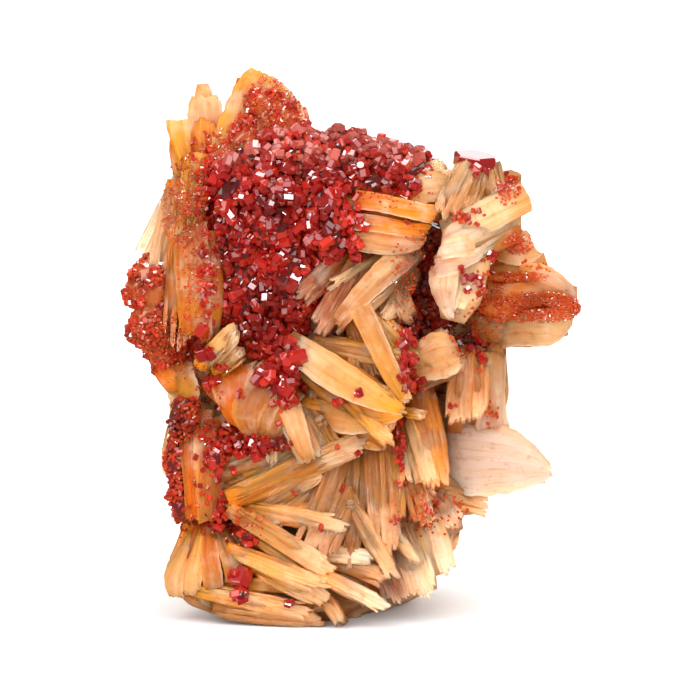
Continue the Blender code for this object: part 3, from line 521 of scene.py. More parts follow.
# Broad smooth plates: four points x, y, z of one edge, four of the other; thickness, how far it swells
# out, how many folds run along it and how high they are; tint of its root and of its tip.
SHEETS = [
    (  # the long petal on the right, swept down to the left
        ((30.6, -16, 76.6), (26.0, -20, 74.8), (21.0, -23, 72.8), (16.4, -23, 70.4)),
        ((30.6, -16, 70.0), (25.6, -21, 66.6), (20.0, -25, 63.2), (14.0, -25, 62.0)),
        2.6, 0.7, 2.2, 0.42, "cream", "shell",
    ),
    (  # a smaller one over its left end
        ((22.6, -21, 69.6), (20.4, -25, 69.6), (18.2, -26, 69.0), (16.2, -25, 68.4)),
        ((23.6, -21, 66.4), (21.0, -26, 65.6), (18.6, -27, 65.4), (15.2, -26, 65.0)),
        2.0, 0.6, 1.4, 0.3, "cream", "shell",
    ),
    (  # the two that hang under it
        ((14.6, -22, 64.0), (14.0, -25, 61.4), (15.2, -26, 57.6), (17.4, -25, 54.4)),
        ((19.6, -23, 64.0), (19.2, -26, 61.0), (18.6, -26, 57.8), (18.6, -25, 54.4)),
        2.2, 0.6, 1.4, 0.3, "cream", "shell",
    ),
    (
        ((18.4, -23, 64.0), (18.2, -25, 61.0), (17.8, -25, 58.0), (17.8, -24, 55.0)),
        ((24.0, -20, 64.6), (23.0, -22, 61.0), (22.2, -23, 58.2), (19.8, -24, 55.4)),
        2.2, 0.6, 1.4, 0.3, "gold", "shell",
    ),
    (  # the tablet in the middle of the right side
        ((9.6, -22, 45.4), (11.6, -24, 49.6), (14.6, -25, 52.0), (19.2, -24, 51.0)),
        ((10.4, -22, 43.0), (13.6, -24.5, 43.4), (17.4, -25, 44.2), (20.6, -23, 46.6)),
        2.4, 0.7, 1.6, 0.35, "tan", "cream",
    ),
    (  # the faces of the rounded boss on the left
        ((-25.4, -16, 45.4), (-24.4, -19, 41.4), (-23.2, -20, 38.4), (-21.4, -19, 35.6)),
        ((-17.0, -19, 46.8), (-17.6, -21, 42.6), (-18.0, -21.5, 38.6), (-18.4, -20.5, 34.2)),
        2.6, 0.6, 1.8, 0.3, "orange", "orange",
    ),
    (
        ((-15.0, -20, 47.0), (-19.2, -21, 42.4), (-21.0, -22, 38.0), (-18.6, -21, 33.6)),
        ((-8.2, -20, 45.0), (-11.4, -22, 42.0), (-13.0, -23, 37.6), (-14.4, -21, 32.8)),
        2.6, 0.7, 2.2, 0.3, "brown", "tan",
    ),
    (
        ((-10.6, -21, 43.4), (-14.2, -22.5, 40.6), (-16.8, -23, 37.0), (-16.6, -21, 33.0)),
        ((-8.0, -20, 41.0), (-9.4, -22, 38.6), (-10.4, -22, 36.2), (-12.0, -21, 33.2)),
        2.6, 0.6, 1.6, 0.35, "brown", "peach",
    ),
    (  # the smooth blade on the left edge
        ((-34.4, -10, 46.6), (-33.8, -12, 44.4), (-32.8, -13, 42.0), (-30.8, -14, 40.0)),
        ((-28.4, -15, 47.0), (-27.6, -17, 44.6), (-27.0, -17, 42.2), (-27.0, -16, 39.8)),
        2.6, 0.8, 0.8, 0.15, "brown", "gold",
    ),
    (  # the petals at the lower left
        ((-27.5, -11, 18.4), (-31.2, -13, 13.2), (-33.2, -13, 9.0), (-32.2, -13, 4.6)),
        ((-26.6, -13, 17.6), (-28.2, -16, 12.2), (-29.6, -17, 8.4), (-29.6, -16, 4.6)),
        1.8, 0.7, 1.5, 0.25, "gold", "cream",
    ),
    (
        ((-27.0, -14, 17.8), (-28.6, -17, 12.4), (-29.8, -18, 8.4), (-29.4, -17, 5.0)),
        ((-25.8, -15, 17.4), (-26.2, -18, 12.2), (-26.4, -19, 8.4), (-26.8, -18, 5.0)),
        1.8, 0.7, 1.5, 0.2, "gold", "cream",
    ),
    (
        ((-26.0, -16, 17.2), (-26.6, -19, 12.4), (-26.4, -20, 8.8), (-25.8, -19, 5.8)),
        ((-24.4, -16, 16.8), (-23.4, -19.5, 12.6), (-22.8, -20, 9.4), (-22.6, -19, 6.2)),
        1.8, 0.7, 1.5, 0.2, "orange", "peach",
    ),
    (
        ((-24.6, -16, 16.8), (-23.4, -19, 12.8), (-22.6, -19.5, 10.0), (-22.2, -19, 7.2)),
        ((-22.4, -16, 16.6), (-20.4, -18.5, 13.4), (-19.2, -19, 11.0), (-18.8, -19, 8.4)),
        1.8, 0.7, 1.5, 0.2, "tan", "peach",
    ),
    (  # the smooth columns above them
        ((-30.6, -14, 36.0), (-30.4, -16, 31.0), (-29.8, -17.5, 26.0), (-29.4, -17, 18.0)),
        ((-27.4, -15, 37.0), (-27.4, -18, 31.0), (-27.2, -19, 26.0), (-26.8, -18, 18.0)),
        2.2, 0.7, 1.9, 0.3, "brown", "orange",
    ),
    (
        ((-27.8, -16, 35.6), (-27.6, -19, 30.0), (-27.4, -20, 25.0), (-27.0, -19, 17.6)),
        ((-22.6, -15, 37.6), (-21.6, -16, 31.0), (-22.4, -17, 25.0), (-22.0, -17, 17.4)),
        2.4, 0.9, 2.3, 0.35, "orange", "tan",
    ),
    (  # the underside and the faces of the arm
        ((25.4, -12, 54.6), (31.0, -16, 56.2), (36.2, -17, 56.4), (40.6, -14, 57.2)),
        ((26.2, -12, 48.8), (31.0, -15, 49.6), (35.6, -16, 49.8), (39.8, -13, 53.6)),
        3.0, 1.2, 2.2, 0.2, "peach", "cream",
    ),
    (
        ((29.6, -14, 64.4), (33.0, -17, 64.6), (36.4, -17, 63.4), (40.4, -13, 60.0)),
        ((29.0, -14, 58.4), (33.0, -17, 57.6), (37.0, -17, 56.4), (41.0, -13, 56.4)),
        3.0, 0.7, 1.6, 0.3, "gold", "shell",
    ),
    (
        ((25.0, -12, 71.0), (27.6, -14, 71.2), (30.0, -14, 71.0), (32.4, -12, 68.8)),
        ((25.0, -12, 65.0), (28.2, -15, 64.4), (31.4, -15, 64.2), (34.4, -12, 66.0)),
        3.0, 0.8, 1.6, 0.3, "gold", "cream",
    ),
    (  # the smooth wall between the arm and the wedge
        ((23.4, -16, 48.6), (23.4, -17.5, 44.0), (23.0, -18, 40.0), (22.4, -17, 34.4)),
        ((28.0, -12, 48.6), (27.8, -13.5, 44.0), (27.8, -14.5, 40.0), (28.6, -14, 34.6)),
        3.0, 0.8, 1.6, 0.2, "peach", "shell",
    ),
    (  # the wedge on the right, seen from its edge
        ((17.4, -13, 37.0), (23.6, -15, 36.8), (29.6, -15, 34.6), (36.2, -12, 28.4)),
        ((17.2, -13, 24.6), (24.4, -16, 22.8), (31.0, -16, 24.0), (36.4, -12, 26.4)),
        3.2, 0.6, 3.2, 0.2, "shell", "shell",
    ),
    (  # the plates on the ledge
        ((1.0, -20, 77.6), (6.6, -22, 76.6), (12.0, -22.5, 75.4), (17.2, -21, 74.8)),
        ((0.6, -21, 74.0), (6.0, -23.5, 73.4), (11.0, -24, 72.2), (14.8, -22, 71.4)),
        2.0, 0.5, 1.7, 0.4, "orange", "gold",
    ),
    (
        ((0.0, -20, 73.6), (5.6, -22, 72.8), (10.6, -22.5, 71.8), (15.0, -21, 71.6)),
        ((-0.4, -20, 70.2), (4.6, -23, 70.0), (9.4, -23.5, 69.2), (13.8, -21.5, 68.8)),
        2.0, 0.5, 1.7, 0.4, "brown", "gold",
    ),
    (
        ((-0.4, -19, 70.6), (4.6, -21.5, 70.2), (9.6, -22, 69.2), (14.0, -20.5, 69.0)),
        ((-1.0, -19, 67.4), (3.4, -22, 66.2), (8.6, -22.5, 66.0), (12.8, -21, 67.2)),
        2.0, 0.5, 1.7, 0.4, "tan", "cream",
    ),
    (  # the smooth face under the crown's right end
        ((9.8, -18, 80.4), (12.4, -19, 81.2), (15.4, -19, 80.8), (18.2, -17, 80.4)),
        ((9.0, -18, 75.8), (12.0, -20, 75.2), (15.4, -20, 75.4), (17.8, -19, 76.0)),
        2.6, 0.8, 1.6, 0.3, "gold", "cream",
    ),
    (  # the wide plate of the crown, and the two smaller ones to its left
        ((-25.0, -13, 84.0), (-23.6, -12, 90.0), (-21.0, -10.5, 95.6), (-17.6, -9, 100.0)),
        ((-12.0, -13, 83.0), (-8.6, -12, 88.6), (-8.6, -11, 92.6), (-13.4, -9, 98.0)),
        3.0, 0.8, 1.4, 0.25, "gold", "gold",
    ),
    (
        ((-28.8, -8, 82.0), (-28.8, -8, 87.0), (-29.2, -7, 91.0), (-28.4, -6, 94.8)),
        ((-22.8, -9, 82.0), (-23.2, -9, 87.0), (-22.8, -8, 91.0), (-23.6, -7, 95.0)),
        2.6, 0.8, 1.6, 0.3, "orange", "cream",
    ),
    (
        ((-30.4, -8, 79.0), (-31.2, -8, 83.4), (-32.6, -7, 87.6), (-32.8, -6, 90.4)),
        ((-27.0, -9, 79.0), (-27.6, -9, 83.4), (-28.4, -8, 87.0), (-28.8, -7, 90.6)),
        2.4, 0.6, 1.4, 0.3, "gold", "amber",
    ),
    (  # the smooth fibrous face beside the main crust
        ((-31.2, -15, 72.0), (-31.4, -17, 66.0), (-31.0, -18.5, 59.0), (-30.2, -18.5, 51.0)),
        ((-25.4, -18, 72.0), (-25.2, -20, 66.0), (-24.8, -21.5, 59.0), (-24.4, -21, 50.0)),
        2.4, 0.6, 2.4, 0.3, "orange", "orange",
    ),
    (  # the yellow spear at the foot of the main crust
        ((-27.6, -19, 47.8), (-25.0, -22, 50.4), (-22.8, -23, 52.6), (-20.6, -23, 54.0)),
        ((-26.0, -19, 45.4), (-23.4, -22, 47.6), (-21.4, -23, 49.8), (-19.8, -23, 52.4)),
        1.8, 0.5, 2.6, 0.3, "gold", "cream",
    ),
    (  # the long blades of the middle
        ((-8.6, -22.5, 51.8), (-2.0, -25.5, 47.8), (5.0, -27.5, 43.0), (10.0, -28, 38.8)),
        ((-11.8, -22.5, 48.2), (-6.0, -25.5, 43.2), (1.0, -27.5, 39.4), (9.4, -28, 37.4)),
        2.0, 0.5, 1.6, 0.22, "cream", "amber",
    ),
    (
        ((-0.8, -24, 57.4), (2.4, -26, 50.6), (5.6, -27, 44.4), (9.2, -28, 39.6)),
        ((3.4, -24, 57.8), (6.8, -26, 50.4), (9.4, -27, 44.4), (10.8, -28, 40.2)),
        2.0, 0.5, 1.6, 0.22, "peach", "gold",
    ),
    (
        ((-6.6, -20, 39.6), (-1.0, -24, 40.2), (5.0, -26, 39.4), (10.0, -27, 38.2)),
        ((-3.8, -21, 35.6), (-1.0, -25, 34.0), (4.0, -26, 34.6), (9.6, -27, 37.2)),
        2.0, 0.5, 1.6, 0.3, "peach", "gold",
    ),
    (
        ((-13.4, -22, 39.4), (-11.8, -24, 36.0), (-10.2, -25, 32.6), (-8.4, -25, 29.2)),
        ((-8.8, -22, 39.6), (-7.8, -24, 36.2), (-7.0, -25, 32.8), (-6.0, -25, 29.4)),
        2.0, 0.5, 1.6, 0.3, "cream", "peach",
    ),
    (
        ((8.6, -21, 67.8), (4.6, -23, 64.6), (0.6, -24, 60.0), (-3.8, -24, 54.0)),
        ((12.2, -21, 65.2), (8.0, -23.5, 61.2), (3.4, -24, 57.4), (-1.6, -24, 52.2)),
        2.0, 0.5, 1.6, 0.25, "cream", "tan",
    ),
]


def linear(hexa):
    """An sRGB hex colour as linear light."""
    value = np.array([int(hexa[i : i + 2], 16) for i in (1, 3, 5)]) / 255
    return np.where(value <= 0.04045, value / 12.92, ((value + 0.055) / 1.055) ** 2.4)


TINT = {name: linear(hexa) for name, hexa in TINTS.items()}
DEEP_RED = linear("#940C0A")
BRIGHT_RED = linear("#CE3020")
ORANGE_RED = linear("#D6541C")
# A pink painted on crystals as the sheen of the light that falls on the top of the crust.
PAINTED_SHEEN_PINK = linear("#C87464")


def settle(points):
    """Specimen millimetres to frame metres: tipped back by LEAN, lowered and cut off flat at the floor."""
    x, y, z = np.moveaxis(np.asarray(points, float), -1, 0)
    deep = y * math.cos(LEAN) + z * math.sin(LEAN)
    up = z * math.cos(LEAN) - y * math.sin(LEAN) - FLOOR * math.cos(LEAN)
    return np.stack([x, deep, np.maximum(up, 0.0)], axis=-1) * SCALE


def unsettle(points):
    """Frame metres back to specimen millimetres."""
    x, deep, up = np.moveaxis(np.asarray(points, float) / SCALE, -1, 0)
    up = up + FLOOR * math.cos(LEAN)
    y = deep * math.cos(LEAN) - up * math.sin(LEAN)
    z = deep * math.sin(LEAN) + up * math.cos(LEAN)
    return np.stack([x, y, z], axis=-1)


def ripple(points, size, seed):
    """Smooth noise from -1 to 1 for a field of points: twelve sine waves of random slant, near this size."""
    random = np.random.default_rng(seed)
    total = np.zeros(points.shape[:-1])
    for _ in range(12):
        slant = random.normal(size=3)
        slant *= 2 * math.pi / size * random.uniform(0.6, 1.7) / np.linalg.norm(slant)
        total += np.sin(points @ slant + random.uniform(0, 2 * math.pi))
    return total / 5.0


def blend(one, other, share):
    """This share of the way from one value to the other."""
    return one * (1 - share) + other * share


def dimmed(tint, share, less):
    """A tint that loses this share of the given parts of its red, green and blue."""
    return tint * (1 - share * np.array(less))


def unit(vectors):
    return vectors / np.linalg.norm(vectors, axis=-1, keepdims=True)


def each(values):
    """One value a blade, made ready to meet its rings and the points of its section."""
    return values[:, None, None]


def mark(mesh, name, kind, field, values):
    """Writes one value for each point of a mesh."""
    layer = mesh.attributes.new(name, kind, "POINT")
    layer.data.foreach_set(field, values.astype(np.float32).reshape(-1))


def piece(name, points, faces, material, smooth, tint, grain=None):
    """A mesh object from specimen points, arrays of faces and a tint for each point.

    All the faces in one array have as many corners. Where there is a grain, it holds millimetres along,
    millimetres across and one number a blade.
    """
    points = settle(points.reshape(-1, 3))
    sizes = np.concatenate([np.full(len(group), group.shape[1]) for group in faces])
    corners = np.concatenate([group.reshape(-1) for group in faces])
    mesh = bpy.data.meshes.new(name)
    mesh.vertices.add(len(points))
    mesh.vertices.foreach_set("co", points.astype(np.float32).reshape(-1))
    mesh.loops.add(len(corners))
    mesh.loops.foreach_set("vertex_index", corners.astype(np.int32))
    mesh.polygons.add(len(sizes))
    mesh.polygons.foreach_set("loop_start", (np.cumsum(sizes) - sizes).astype(np.int32))
    mesh.polygons.foreach_set("loop_total", sizes.astype(np.int32))
    mesh.polygons.foreach_set("use_smooth", np.full(len(sizes), smooth))
    mesh.update(calc_edges=True)
    opaque = np.column_stack([tint.reshape(-1, 3), np.ones(len(points))])
    mark(mesh, "tint", "FLOAT_COLOR", "color", opaque)
    if grain is not None:
        mark(mesh, "grain", "FLOAT_VECTOR", "vector", grain)
    mesh.materials.append(material)
    obj = bpy.data.objects.new(name, mesh)
    bpy.context.scene.collection.objects.link(obj)
    return obj


def tube_faces(count, rings, around):
    """Faces of many tubes, each of rings of points followed by one point at either end."""
    each_has = rings * around + 2
    start = np.arange(count)[:, None, None] * each_has
    ring = np.arange(rings - 1)[None, :, None] * around
    side = np.arange(around)[None, None, :]
    other = (side + 1) % around
    here, there = start + ring + side, start + ring + other
    sides = np.stack([here, there, there + around, here + around], axis=-1).reshape(-1, 4)
    first, last = start + rings * around, start + rings * around + 1
    high = start + (rings - 1) * around
    root_caps = np.stack(np.broadcast_arrays(first, start + other, start + side), axis=-1).reshape(-1, 3)
    tip_caps = np.stack(np.broadcast_arrays(last, high + side, high + other), axis=-1).reshape(-1, 3)
    return [sides, np.concatenate([root_caps, tip_caps])]


def closed(*fields):
    """Each field, by tube, ring and place round it, with the means of its first and last ring added."""
    made = []
    for values in fields:
        ends = values[:, [0, -1]].mean(axis=2)
        made.append(np.concatenate([values.reshape(len(values), -1, 3), ends], axis=1))
    return made


def barite_piece(name, made, rings, around, material):
    """One piece of barite from what sheaf(), laths() or sheet() gave for each of its rows."""
    points, tint, grain = (np.concatenate(group) for group in zip(*made))
    faces = tube_faces(len(points), rings, around)
    return piece(name, points, faces, material, True, shaded(points, tint), grain)


def frame_of(root, tip, facing, roll):
    """Unit vectors along, across and into the stone for a blade that faces this way."""
    along = unit(tip - root)
    across = unit(np.cross(along, facing))
    deep = np.cross(along, across)
    turn = math.radians(roll)
    across = across * math.cos(turn) + deep * math.sin(turn)
    return along, across, np.cross(along, across)


def laid(row, facing):
    """Root, length and the three unit vectors of a row of a table of sheaves."""
    root, tip = np.array(row[0:3], float), np.array(row[3:6], float)
    return root, np.linalg.norm(tip - root), frame_of(root, tip, facing, row[8])


def placed(root, axes, *steps):
    """Points that lie these steps along, across and into the stone from a root."""
    return sum((step[..., None] * axis for step, axis in zip(steps, axes)), root)


def sheaf(row, random, facing=FRONT, pitch=BLADE_PITCH, bow=SHEAF_BOW):
    """A sheaf of thin blades grown into one another, as one closed form.

    Round its section run four points for each blade across the front, then a few across the back. With s
    the share of the way from root to tip, the front stands out by half the depth, times a roof that falls
    off from a ridge beside the middle, plus a step and a slow wave of each blade's own, plus the bow
    times 4 s (1 - s), less a narrow groove between two blades. Each blade ends a little sooner or later.
    Gives the points, the tints and the grain.
    """
    root, length, axes = laid(row, facing)
    width, depth = row[6:8]
    blades = max(2, min(BLADES_ROUND, round(width / pitch)))
    edges = np.sort(random.uniform(-1, 1, blades - 1))
    edges = 0.65 * np.linspace(-1, 1, blades + 1)[1:-1] + 0.35 * edges
    bounds = np.concatenate([[-1], edges, [1]])
    step = np.arange(BLADES_ROUND * 4) // 4
    place = (step + np.tile((0.06, 0.35, 0.65, 0.94), BLADES_ROUND)) / BLADES_ROUND * 2 - 1
    group = np.searchsorted(edges, place)
    within = (place - bounds[group]) / (bounds[group + 1] - bounds[group])
    groove = np.abs(2 * within - 1) ** 5

    rings = np.linspace(0, 1, SHEAF_RINGS)[:, None] ** 0.92
    middles = np.abs((bounds[1:] + bounds[:-1]) / 2)
    ends_at = 0.95 - 0.15 * random.uniform(0, 1, blades) - 0.1 * middles
    share = rings * ends_at[group]
    swell = np.interp(share, *SHEAF_SWELL)
    phase = random.uniform(0, 6, blades)[group]
    wave = np.sin(share * random.uniform(4, 10, blades)[group] + phase)
    ridge = random.uniform(-0.45, 0.45)
    roof = 1 - random.uniform(0.12, 0.3) * np.abs(place - ridge) - 0.3 * np.abs(place) ** 5
    level = random.normal(0, 0.16, blades)[group]
    front = SHEAF_SUNK - depth / 2 * swell * roof + level + 0.07 * wave + 0.16 * groove
    front = front - bow * 4 * share * (1 - share)
    front[-1] += 0.9
    front[-2] += 0.25
    aside = place * width / 2 * swell + 0.1 * np.sin(share * 7 + phase[0])

    behind = np.linspace(0.8, -0.8, SHEAF_BACK)
    back_share = rings * (0.93 + 0 * behind)
    back_swell = np.interp(back_share, *SHEAF_SWELL)
    back = depth / 2 * back_swell * 0.9
    distance = np.concatenate([share, back_share], axis=1) * length
    offset = np.concatenate([aside, behind * width / 2 * back_swell], axis=1)
    points = placed(root, axes, distance, offset, np.concatenate([front, back], axis=1))

    first, last = TINT[row[9]], TINT[row[10]]
    tint = blend(first, last, (share * share * (3 - 2 * share))[..., None])
    light = random.uniform(0.93, 1.05, blades)[group][:, None]
    warmth = (random.uniform(0, 1, blades) ** 4)[group][:, None]
    # Each blade a random amount warmer with iron stain; the whole body, which shows in the gaps between the
    # single blades, warmer, and its grooves darker and warmer still: partly iron stain, partly painted
    # shade.
    tint = dimmed(tint * light, warmth, (0.0, 0.22, 0.5)) * np.array((1.0, 0.87, 0.7))
    tint = dimmed(tint, groove[:, None], (0.02, 0.14, 0.25))
    # The back, which faces into the stone, is darker and warmer: painted shade.
    low = np.broadcast_to(blend(first, last, 0.5), (*back.shape, 3)) * np.array((0.9, 0.72, 0.55))
    number = np.concatenate([random.uniform(0, 40, blades)[group], behind])
    grain = np.stack(np.broadcast_arrays(distance, offset, number), axis=-1)
    return closed(points[None], np.concatenate([tint, low], axis=1)[None], grain[None])


def laths(row, random, facing=FRONT):
    """The single blades that stand out of one sheaf: slim bars with a flat front and two bevels.

    Every bar starts and ends at its own place along the sheaf and leans a few degrees out of its line.
    Toward the tip it narrows to half its width and leans over to one side, as LATH_WIDTH and LATH_LEAN
    say. It lies on the sheaf's front, which drops off toward the sides. Gives the same as sheaf().
    """
    root, length, axes = laid(row, facing)
    width, depth = row[6:8]
    count = int(width * LATHS_A_MM) + 3
    place = random.uniform(-0.47, 0.47, count)
    half = each(random.uniform(0.2, 0.62, count))
    start = random.uniform(-0.03, 0.2, count)
    end = random.uniform(0.93, 1.03, count) - 0.12 * np.abs(2 * place)
    share = each(start) + each(end - start) * LATH_SHARE[:, None]
    splay = place * random.uniform(-0.03, 0.05, count) + random.normal(0, 0.015, count)
    bend = each(random.normal(0, 0.3, count))
    side = each(random.choice((-1, 1), count))
    centre = each(place) * width * 0.94 + each(splay) * share * length
    centre = centre + bend * 4 * share * (1 - share) + side * half * LATH_LEAN[:, None]
    offset = centre + half * LATH_WIDTH[:, None] * LATH_ACROSS
    level = -depth / 2 * (1 - 0.3 * np.abs(2 * place) ** 2.5) - random.uniform(-0.2, 0.25, count)
    depths = each(level) * np.interp(share, *LATH_SWELL) + LATH_SINK[:, None] + LATH_INTO
    distance = np.broadcast_to(share * length, offset.shape)
    points = placed(root, axes, distance, offset, depths)

    tint = blend(TINT[row[9]], TINT[row[10]], np.clip(share, 0, 1)[..., None])
    tint = tint * each(random.uniform(0.88, 1.0, count))[..., None]
    tint = dimmed(tint, each(random.uniform(0, 1, count) ** 2)[..., None], (0.0, 0.16, 0.36))
    tint = np.broadcast_to(tint, points.shape)
    tint = tint + (TINT["white"] - tint) * LATH_PALE[:, None, None]
    # Painted shade on the sides of the bar, which run down into the gaps between blades.
    tint = dimmed(tint, LATH_PAINTED_SHADE[:, None], (0.0, 0.08, 0.2))
    number = np.broadcast_to(each(random.uniform(0, 40, count)), offset.shape)
    return closed(points, tint, np.stack([distance, offset, number], axis=-1))


def edge_line(corners, share):
    """The smooth curve through four points, at these shares of its way."""
    steps = np.linspace(0, 1, len(corners))
    curves = np.polyfit(steps, np.array(corners, float), len(corners) - 1)
    return sum(curve * share[..., None] ** power for power, curve in enumerate(curves[::-1]))


def sheet(row, random):
    """A broad plate between two edges, as a closed form.

    With a the share of the way across, the front stands out from the surface between the edges by the
    swell times sin(pi a), plus the height times the folds times sin(pi a) to the power 0.4. The folds are
    three cosines of a that wander a little on their way along the plate. Its tip ends sooner here and
    later there, and its thickness follows the root of sin(pi a). Gives the same as sheaf().
    """
    one, two, thick, swell, folds, height, first, last = row
    across = 0.5 - 0.5 * np.cos(np.linspace(0, math.pi, SHEET_ACROSS))
    notch = np.repeat(random.uniform(0, 1, SHEET_ACROSS // 2), 2)
    ragged = 1 - 0.1 * notch * random.uniform(0.4, 1)
    share = np.linspace(0, 1, SHEET_ROWS)[:, None] * ragged
    phase = random.uniform(0, 6)
    uneven = 0.012 * np.sin(share * 9 + phase) + 0.012 * np.sin(share * 37 + 2 * phase)
    place = across + uneven * np.abs(2 * across - 1) * np.sign(across - 0.5)
    front = blend(edge_line(one, share), edge_line(two, share), place[..., None])
    wander = 0.5 * np.sin(share * 4 + phase) + 0.12 * np.sin(share * 17 + 2 * phase)
    turn = 2 * math.pi * folds * across + wander
    fold = 0.7 * np.cos(turn + 2 * phase) + 0.4 * np.cos(2.7 * turn + 4 * phase)
    fold = fold + 0.12 * np.cos(9.3 * turn + 4 * np.sin(share * 3))
    edge = np.sin(math.pi * across)
    out = swell * edge + height * fold * edge**0.4
    out = out - 0.8 * np.clip(1 - share * 8, 0, 1) - 0.5 * np.clip(share * 8 - 7, 0, 1)
    front[..., 1] -= out
    deep = (thick * np.sqrt(edge[::-1]) + 0.2) * (1 - 0.85 * share[:, ::-1] ** 6)
    back = front[:, ::-1] + np.array((0.0, 1.0, 0.0)) * deep[..., None]
    points = np.concatenate([front, back], axis=1)

    tint = blend(TINT[first], TINT[last], share[..., None])
    # Along one edge amber iron stain; along the other a painted white highlight.
    rim = (np.abs(2 * across - 1) ** 7)[:, None]
    rim_tint = np.where(across[:, None] < 0.5, TINT["amber"], TINT["white"])
    tint = tint + (rim_tint - tint) * rim * 0.6
    # Darker and warmer in the valleys of the folds: partly iron stain, partly painted shade.
    tint = dimmed(tint, np.clip(-0.8 * fold, 0, 1)[..., None], (0.04, 0.14, 0.26))
    # The back is darker and warmer: painted shade.
    tint = np.concatenate([tint, tint[:, ::-1] * np.array((0.9, 0.75, 0.6))], axis=1)
    length = np.linalg.norm(np.subtract(one[0], one[3]))
    width = np.linalg.norm(np.subtract(one[1], two[1]))
    distance = np.concatenate([share, share], axis=1) * length
    offset = np.broadcast_to(np.concatenate([across, across[::-1]]) * width, distance.shape)
    grain = np.stack([distance, offset, np.full(distance.shape, phase * 6)], axis=-1)
    return closed(points[None], tint[None], grain[None])


def broad_plates(random, material):
    """All the broad smooth plates."""
    made = [sheet(row, random) for row in SHEETS]
    return barite_piece("barite_broad_plates", made, SHEET_ROWS, SHEET_ACROSS * 2, material)


def undergrowth(rows, random, solid):
    """Smaller sheaves between and behind the given ones, turned a little from them and set deeper."""
    more = []
    for row in rows:
        root, tip = np.array(row[0:3], float), np.array(row[3:6], float)
        along, across, deep = frame_of(root, tip, FRONT, 0)
        length = np.linalg.norm(tip - root)
        for side in (-1, 1):
            turn = math.radians(side * random.uniform(4, 24))
            way = along * math.cos(turn) + across * math.sin(turn)
            start = root + across * side * row[6] * random.uniform(0.3, 0.8)
            start = start + deep * random.uniform(1.0, 2.0)
            start = start + along * length * random.uniform(-0.05, 0.25)
            end = start + way * length * random.uniform(0.65, 0.95)
            hit, _ = face_at(solid, end[0], end[2])
            back, _ = face_at(solid, start[0], start[2])
            if hit is None or back is None or hit[1] > FACE_ENDS or back[1] > FACE_ENDS:
                continue
            if end[0] > WEDGE_ROOT:
                start[1] += BEHIND_WEDGE
                end[1] += BEHIND_WEDGE
            width = min(row[6], 5.0) * random.uniform(0.6, 0.9)
            more.append((*start, *end, width, row[7], random.uniform(-15, 15), row[9], row[10]))
    return more


def sheaves(name, rows, random, material, facings=None, **settings):
    """One piece from a table of sheaves."""
    facings = facings or [FRONT] * len(rows)
    made = [sheaf(row, random, facing, **settings) for row, facing in zip(rows, facings)]
    return barite_piece(name, made, SHEAF_RINGS, BLADES_ROUND * 4 + SHEAF_BACK, material)


def single_blades(name, rows, random, material, facings=None):
    """One piece from the single blades of a table of sheaves."""
    facings = facings or [FRONT] * len(rows)
    made = [laths(row, random, facing) for row, facing in zip(rows, facings)]
    return barite_piece(name, made, len(LATH_SHARE), len(LATH_ACROSS), material)


def away_from(x, z, spot):
    """How far x, z lie from the middle of a spot (x, z, half width, half height): 1 is its edge."""
    return np.hypot((x - spot[0]) / spot[2], (z - spot[1]) / spot[3])


def shaded(points, tint):
    """Stains the barite where iron has soaked in: warm blotches, and rust in the places of STAINS."""
    soak = np.clip(ripple(points, 16.0, 5) * 0.9, 0, 1)[..., None] * 0.55
    tint = blend(tint, tint * np.array((1.0, 0.78, 0.52)), soak)
    x, y, z = np.moveaxis(points, -1, 0)
    edge = 1 + 0.35 * ripple(points, 4.0, 6)
    for *spot, name, strength in STAINS:
        near = np.clip(1.25 - away_from(x, z, spot) / edge, 0, 1)
        tint = blend(tint, TINT[name], (near * strength * (y < 2))[..., None])
    return tint


def levels_at(height):
    """Left, right, front and back of the stone at these heights, read smoothly between the levels."""
    rows = np.array(STONE_LEVELS, float)
    step = np.clip(np.searchsorted(rows[:, 0], height) - 1, 0, len(rows) - 2)
    share = np.clip((height - rows[step, 0]) / (rows[step + 1, 0] - rows[step, 0]), 0, 1)
    share = (share * share * (3 - 2 * share))[..., None]
    return np.moveaxis(blend(rows[step, 1:], rows[step + 1, 1:], share), -1, 0)


def stone_point(angle, height, proud=0.0):
    """The stone's surface at an angle in radians (0 is +X, 90 degrees is straight back) and a height: a
    squared ellipse between the four sides of its level, swollen by broad lumps."""
    angle, height = np.broadcast_arrays(np.asarray(angle, float), np.asarray(height, float))
    left, right, front, back = levels_at(height)
    power = 2 / STONE_SQUARENESS
    across = np.sign(np.cos(angle)) * np.abs(np.cos(angle)) ** power
    deep = np.sign(np.sin(angle)) * np.abs(np.sin(angle)) ** power
    lump = STONE_LUMP * (
        np.sin(3 * angle + height / 7) + 0.6 * np.sin(5 * angle - height / 4.3 + 1) - 0.5
    )
    x = (left + right) / 2 + ((right - left) / 2 + lump + proud) * across
    y = (front + back) / 2 + ((back - front) / 2 + lump + proud) * deep
    return np.stack([x, y, height], axis=-1)


